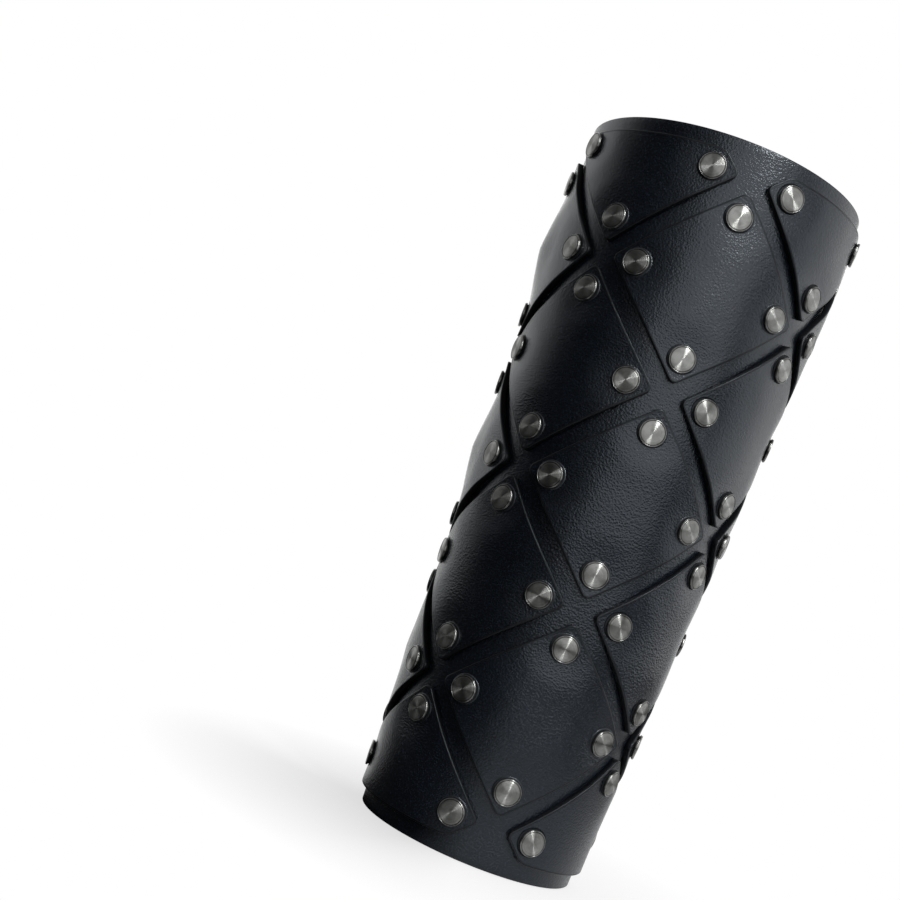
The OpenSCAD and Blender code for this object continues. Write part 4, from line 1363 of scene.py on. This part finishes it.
class BRACER_OT_stage(bpy.types.Operator):
    """Set up the camera, the white floor and the soft light"""

    bl_idname = "bracer.stage"
    bl_label = "Stage"

    TURN = Vector((-0.0525, 0.3846, 0.0738))  # rotation vector of the view
    SHIFT = Vector((51.683, 497.40, -20.22)) * MM  # the tube's middle as the camera sees it
    MIDDLE = Vector((0, 0, 0.125))  # of the tube
    DARK_SIDE = Vector((-0.93, -0.36, 0.08))  # the tent is dark from this side
    FLOOR = 6.0  # half of the floor's width
    UNDER = 0.2 * MM  # the floor lies this far under the wrist rim

    # name, azimuth in degrees from the front, height, distance, width, height of the lamp,
    # and its brightness as a part of the softboxes' light
    LAMPS = (
        ("front_softbox", 14, 0.45, 1.1, 1.3, 1.1, 0.82),
        ("right_softbox", 92, 0.35, 1.1, 1.4, 1.1, 0.58),
        ("left_softbox", -122, 0.4, 1.1, 0.6, 1.1, 0.28),
        ("back_softbox", 172, 0.6, 1.1, 0.7, 1.0, 0.6),
        ("key_strip", 20, 1.15, 0.95, 0.09, 0.9, 36),
    )
    AIM = Vector((0, 0, 0.12))  # the lamps face this point

    def camera(self, context):
        view = Quaternion(self.TURN.normalized(), self.TURN.length).to_matrix()
        right, ahead, up = view
        spot = self.MIDDLE - view.transposed() @ self.SHIFT
        data = bpy.data.cameras.new("camera")
        data.sensor_width = 36
        data.lens = context.scene.bracer_stage.focal_length
        data.clip_start, data.clip_end = 0.01, 50
        camera = bpy.data.objects.new("camera", data)
        camera.matrix_world = Matrix((
            (right.x, up.x, -ahead.x, spot.x),
            (right.y, up.y, -ahead.y, spot.y),
            (right.z, up.z, -ahead.z, spot.z),
            (0, 0, 0, 1),
        ))
        context.collection.objects.link(camera)
        context.scene.camera = camera

    def softbox(self, context, name, azimuth, height, away, width, tall, part):
        """Soft lamp that faces the object."""
        data = bpy.data.lights.new(name, "AREA")
        data.shape, data.size, data.size_y = "RECTANGLE", width, tall
        # an area lamp's brightness is its power over pi and its area
        data.energy = math.pi * width * tall * part * context.scene.bracer_stage.softbox_light
        lamp = bpy.data.objects.new(name, data)
        turn = math.radians(azimuth)
        lamp.location = (away * math.sin(turn), -away * math.cos(turn), height)
        lamp.rotation_euler = (self.AIM - lamp.location).to_track_quat("-Z", "Y").to_euler()
        lamp.visible_camera = False
        context.collection.objects.link(lamp)

    def floor_paper(self, stage):
        """Matt white paper that fades into the backdrop, and is grey farther away."""
        material = bpy.data.materials.new("floor_paper")
        material.use_nodes = True
        material.node_tree.nodes.clear()
        add = partial(add_node, material.node_tree)
        place = add("TexCoord", out="Object")
        away = add("VectorMath", (place,), out="Value", operation="LENGTH")
        way = add("VectorMath", (place,), operation="NORMALIZE")
        # what the camera sees is backdrop, and so is what metal mirrors from behind the object
        ahead = add("SeparateXYZ", (way,), out="Y")
        behind = add("MapRange", (ahead, 0.5, 0.92, 0, 1))
        glossy, camera = [add("LightPath", out=f"Is {ray} Ray") for ray in ("Glossy", "Camera")]
        mirrored = add("Math", (glossy, behind), operation="MULTIPLY")
        seen = add("Math", (camera, mirrored), operation="MAXIMUM")
        # the shadow shows close to the object, where the paper is only partly backdrop
        near = add("MapRange", (away, 0.04, 0.12, 0.72, 1))
        fade = add("Math", (seen, near), operation="MULTIPLY")
        far = add("MapRange", (away, 0.1, 0.35, 0, 1))
        grey = add("Mix", {
            0: far, 6: shade(stage.backdrop, 0.68), 7: shade(stage.backdrop, 0.1),
        }, **BLEND)
        dark = add("VectorMath", (way, self.DARK_SIDE), out="Value", operation="DOT_PRODUCT")
        dark = add("MapRange", (dark, 0.5, 0.85, 0, 1))
        grey = add("Mix", {0: dark, 6: grey, 7: shade(stage.backdrop, 0.03)}, **BLEND)
        paper = add("BsdfDiffuse", {"Color": grey})
        glow = add("Emission", {"Color": stage.backdrop, "Strength": 1})
        add("OutputMaterial", {"Surface": add("MixShader", (fade, paper, glow))})
        return material

    def floor(self, context):
        bm = bmesh.new()
        bmesh.ops.create_grid(bm, x_segments=12, y_segments=12, size=self.FLOOR)
        mesh = bpy.data.meshes.new("floor")
        bm.to_mesh(mesh)
        bm.free()
        mesh.materials.append(self.floor_paper(context.scene.bracer_stage))
        floor = bpy.data.objects.new("floor", mesh)
        floor.location.z = -self.UNDER
        context.collection.objects.link(floor)

    def tent(self, context):
        """White tent that is dark on one side, with the backdrop behind the object."""
        stage = context.scene.bracer_stage
        world = bpy.data.worlds.new("studio")
        context.scene.world = world
        world.use_nodes = True
        world.node_tree.nodes.clear()
        add = partial(add_node, world.node_tree)
        way = add("TexCoord", out="Generated")
        # the white backdrop shows in metal, and in the finish of the leather
        ahead = add("SeparateXYZ", (way,), out="Y")
        behind = add("MapRange", (ahead, 0.45, 0.92, 0, 1))
        mirrored = add("LightPath", out="Is Glossy Ray")
        shown = add("Math", (behind, mirrored), operation="MULTIPLY")
        glow = add("Math", (
            shown, 1 - stage.tent_light, stage.tent_light,
        ), operation="MULTIPLY_ADD")
        dark = add("VectorMath", (
            way, self.DARK_SIDE.normalized(),
        ), out="Value", operation="DOT_PRODUCT")
        dark = add("MapRange", (dark, 0.82, 0.94, 1, 0.06))
        glow = add("Math", (glow, dark), operation="MULTIPLY")
        light = add("Background", {"Color": (1, 1, 1, 1), "Strength": glow})
        white = add("Background", {"Color": stage.backdrop, "Strength": 1})
        seen = add("LightPath", out="Is Camera Ray")
        add("OutputWorld", {"Surface": add("MixShader", (seen, light, white))})

    def execute(self, context):
        self.camera(context)
        for lamp in self.LAMPS:
            self.softbox(context, *lamp)
        self.floor(context)
        self.tent(context)
        context.scene.view_settings.view_transform = "Standard"
        return {"FINISHED"}


# Add-on

OPERATORS = (
    BRACER_OT_stage, BRACER_OT_bow, BRACER_OT_lace, BRACER_OT_base_leather, BRACER_OT_panels,
    BRACER_OT_rivets, BRACER_OT_eyelets,
)


class BRACER_PT_sidebar(bpy.types.Panel):
    """Buttons and settings of the bracer"""

    bl_idname = "BRACER_PT_sidebar"
    bl_label = "Laced leather bracer"
    bl_space_type = "VIEW_3D"
    bl_region_type = "UI"
    bl_category = "Bracer"

    def draw(self, context):
        for operator in OPERATORS:
            self.layout.operator(operator.bl_idname)
        for name, group in SETTINGS.items():
            box = self.layout.box()
            box.label(text=group.__doc__)
            for field in group.__annotations__:
                box.prop(getattr(context.scene, name), field)


def register():
    for group in SETTINGS.values():
        bpy.utils.register_class(group)
    for name, group in SETTINGS.items():
        setattr(bpy.types.Scene, name, PointerProperty(type=group))
    for operator in OPERATORS:
        bpy.utils.register_class(operator)
    bpy.utils.register_class(BRACER_PT_sidebar)


def unregister():
    bpy.utils.unregister_class(BRACER_PT_sidebar)
    for operator in reversed(OPERATORS):
        bpy.utils.unregister_class(operator)
    for name in reversed(SETTINGS):
        delattr(bpy.types.Scene, name)
    for group in reversed(SETTINGS.values()):
        bpy.utils.unregister_class(group)


def main():
    register()
    bpy.ops.bracer.stage()
    bpy.ops.bracer.bow()
    bpy.ops.bracer.lace()
    bpy.ops.bracer.base_leather()
    bpy.ops.bracer.panels()
    bpy.ops.bracer.rivets()
    bpy.ops.bracer.eyelets()


if __name__ == "__main__":
    main()
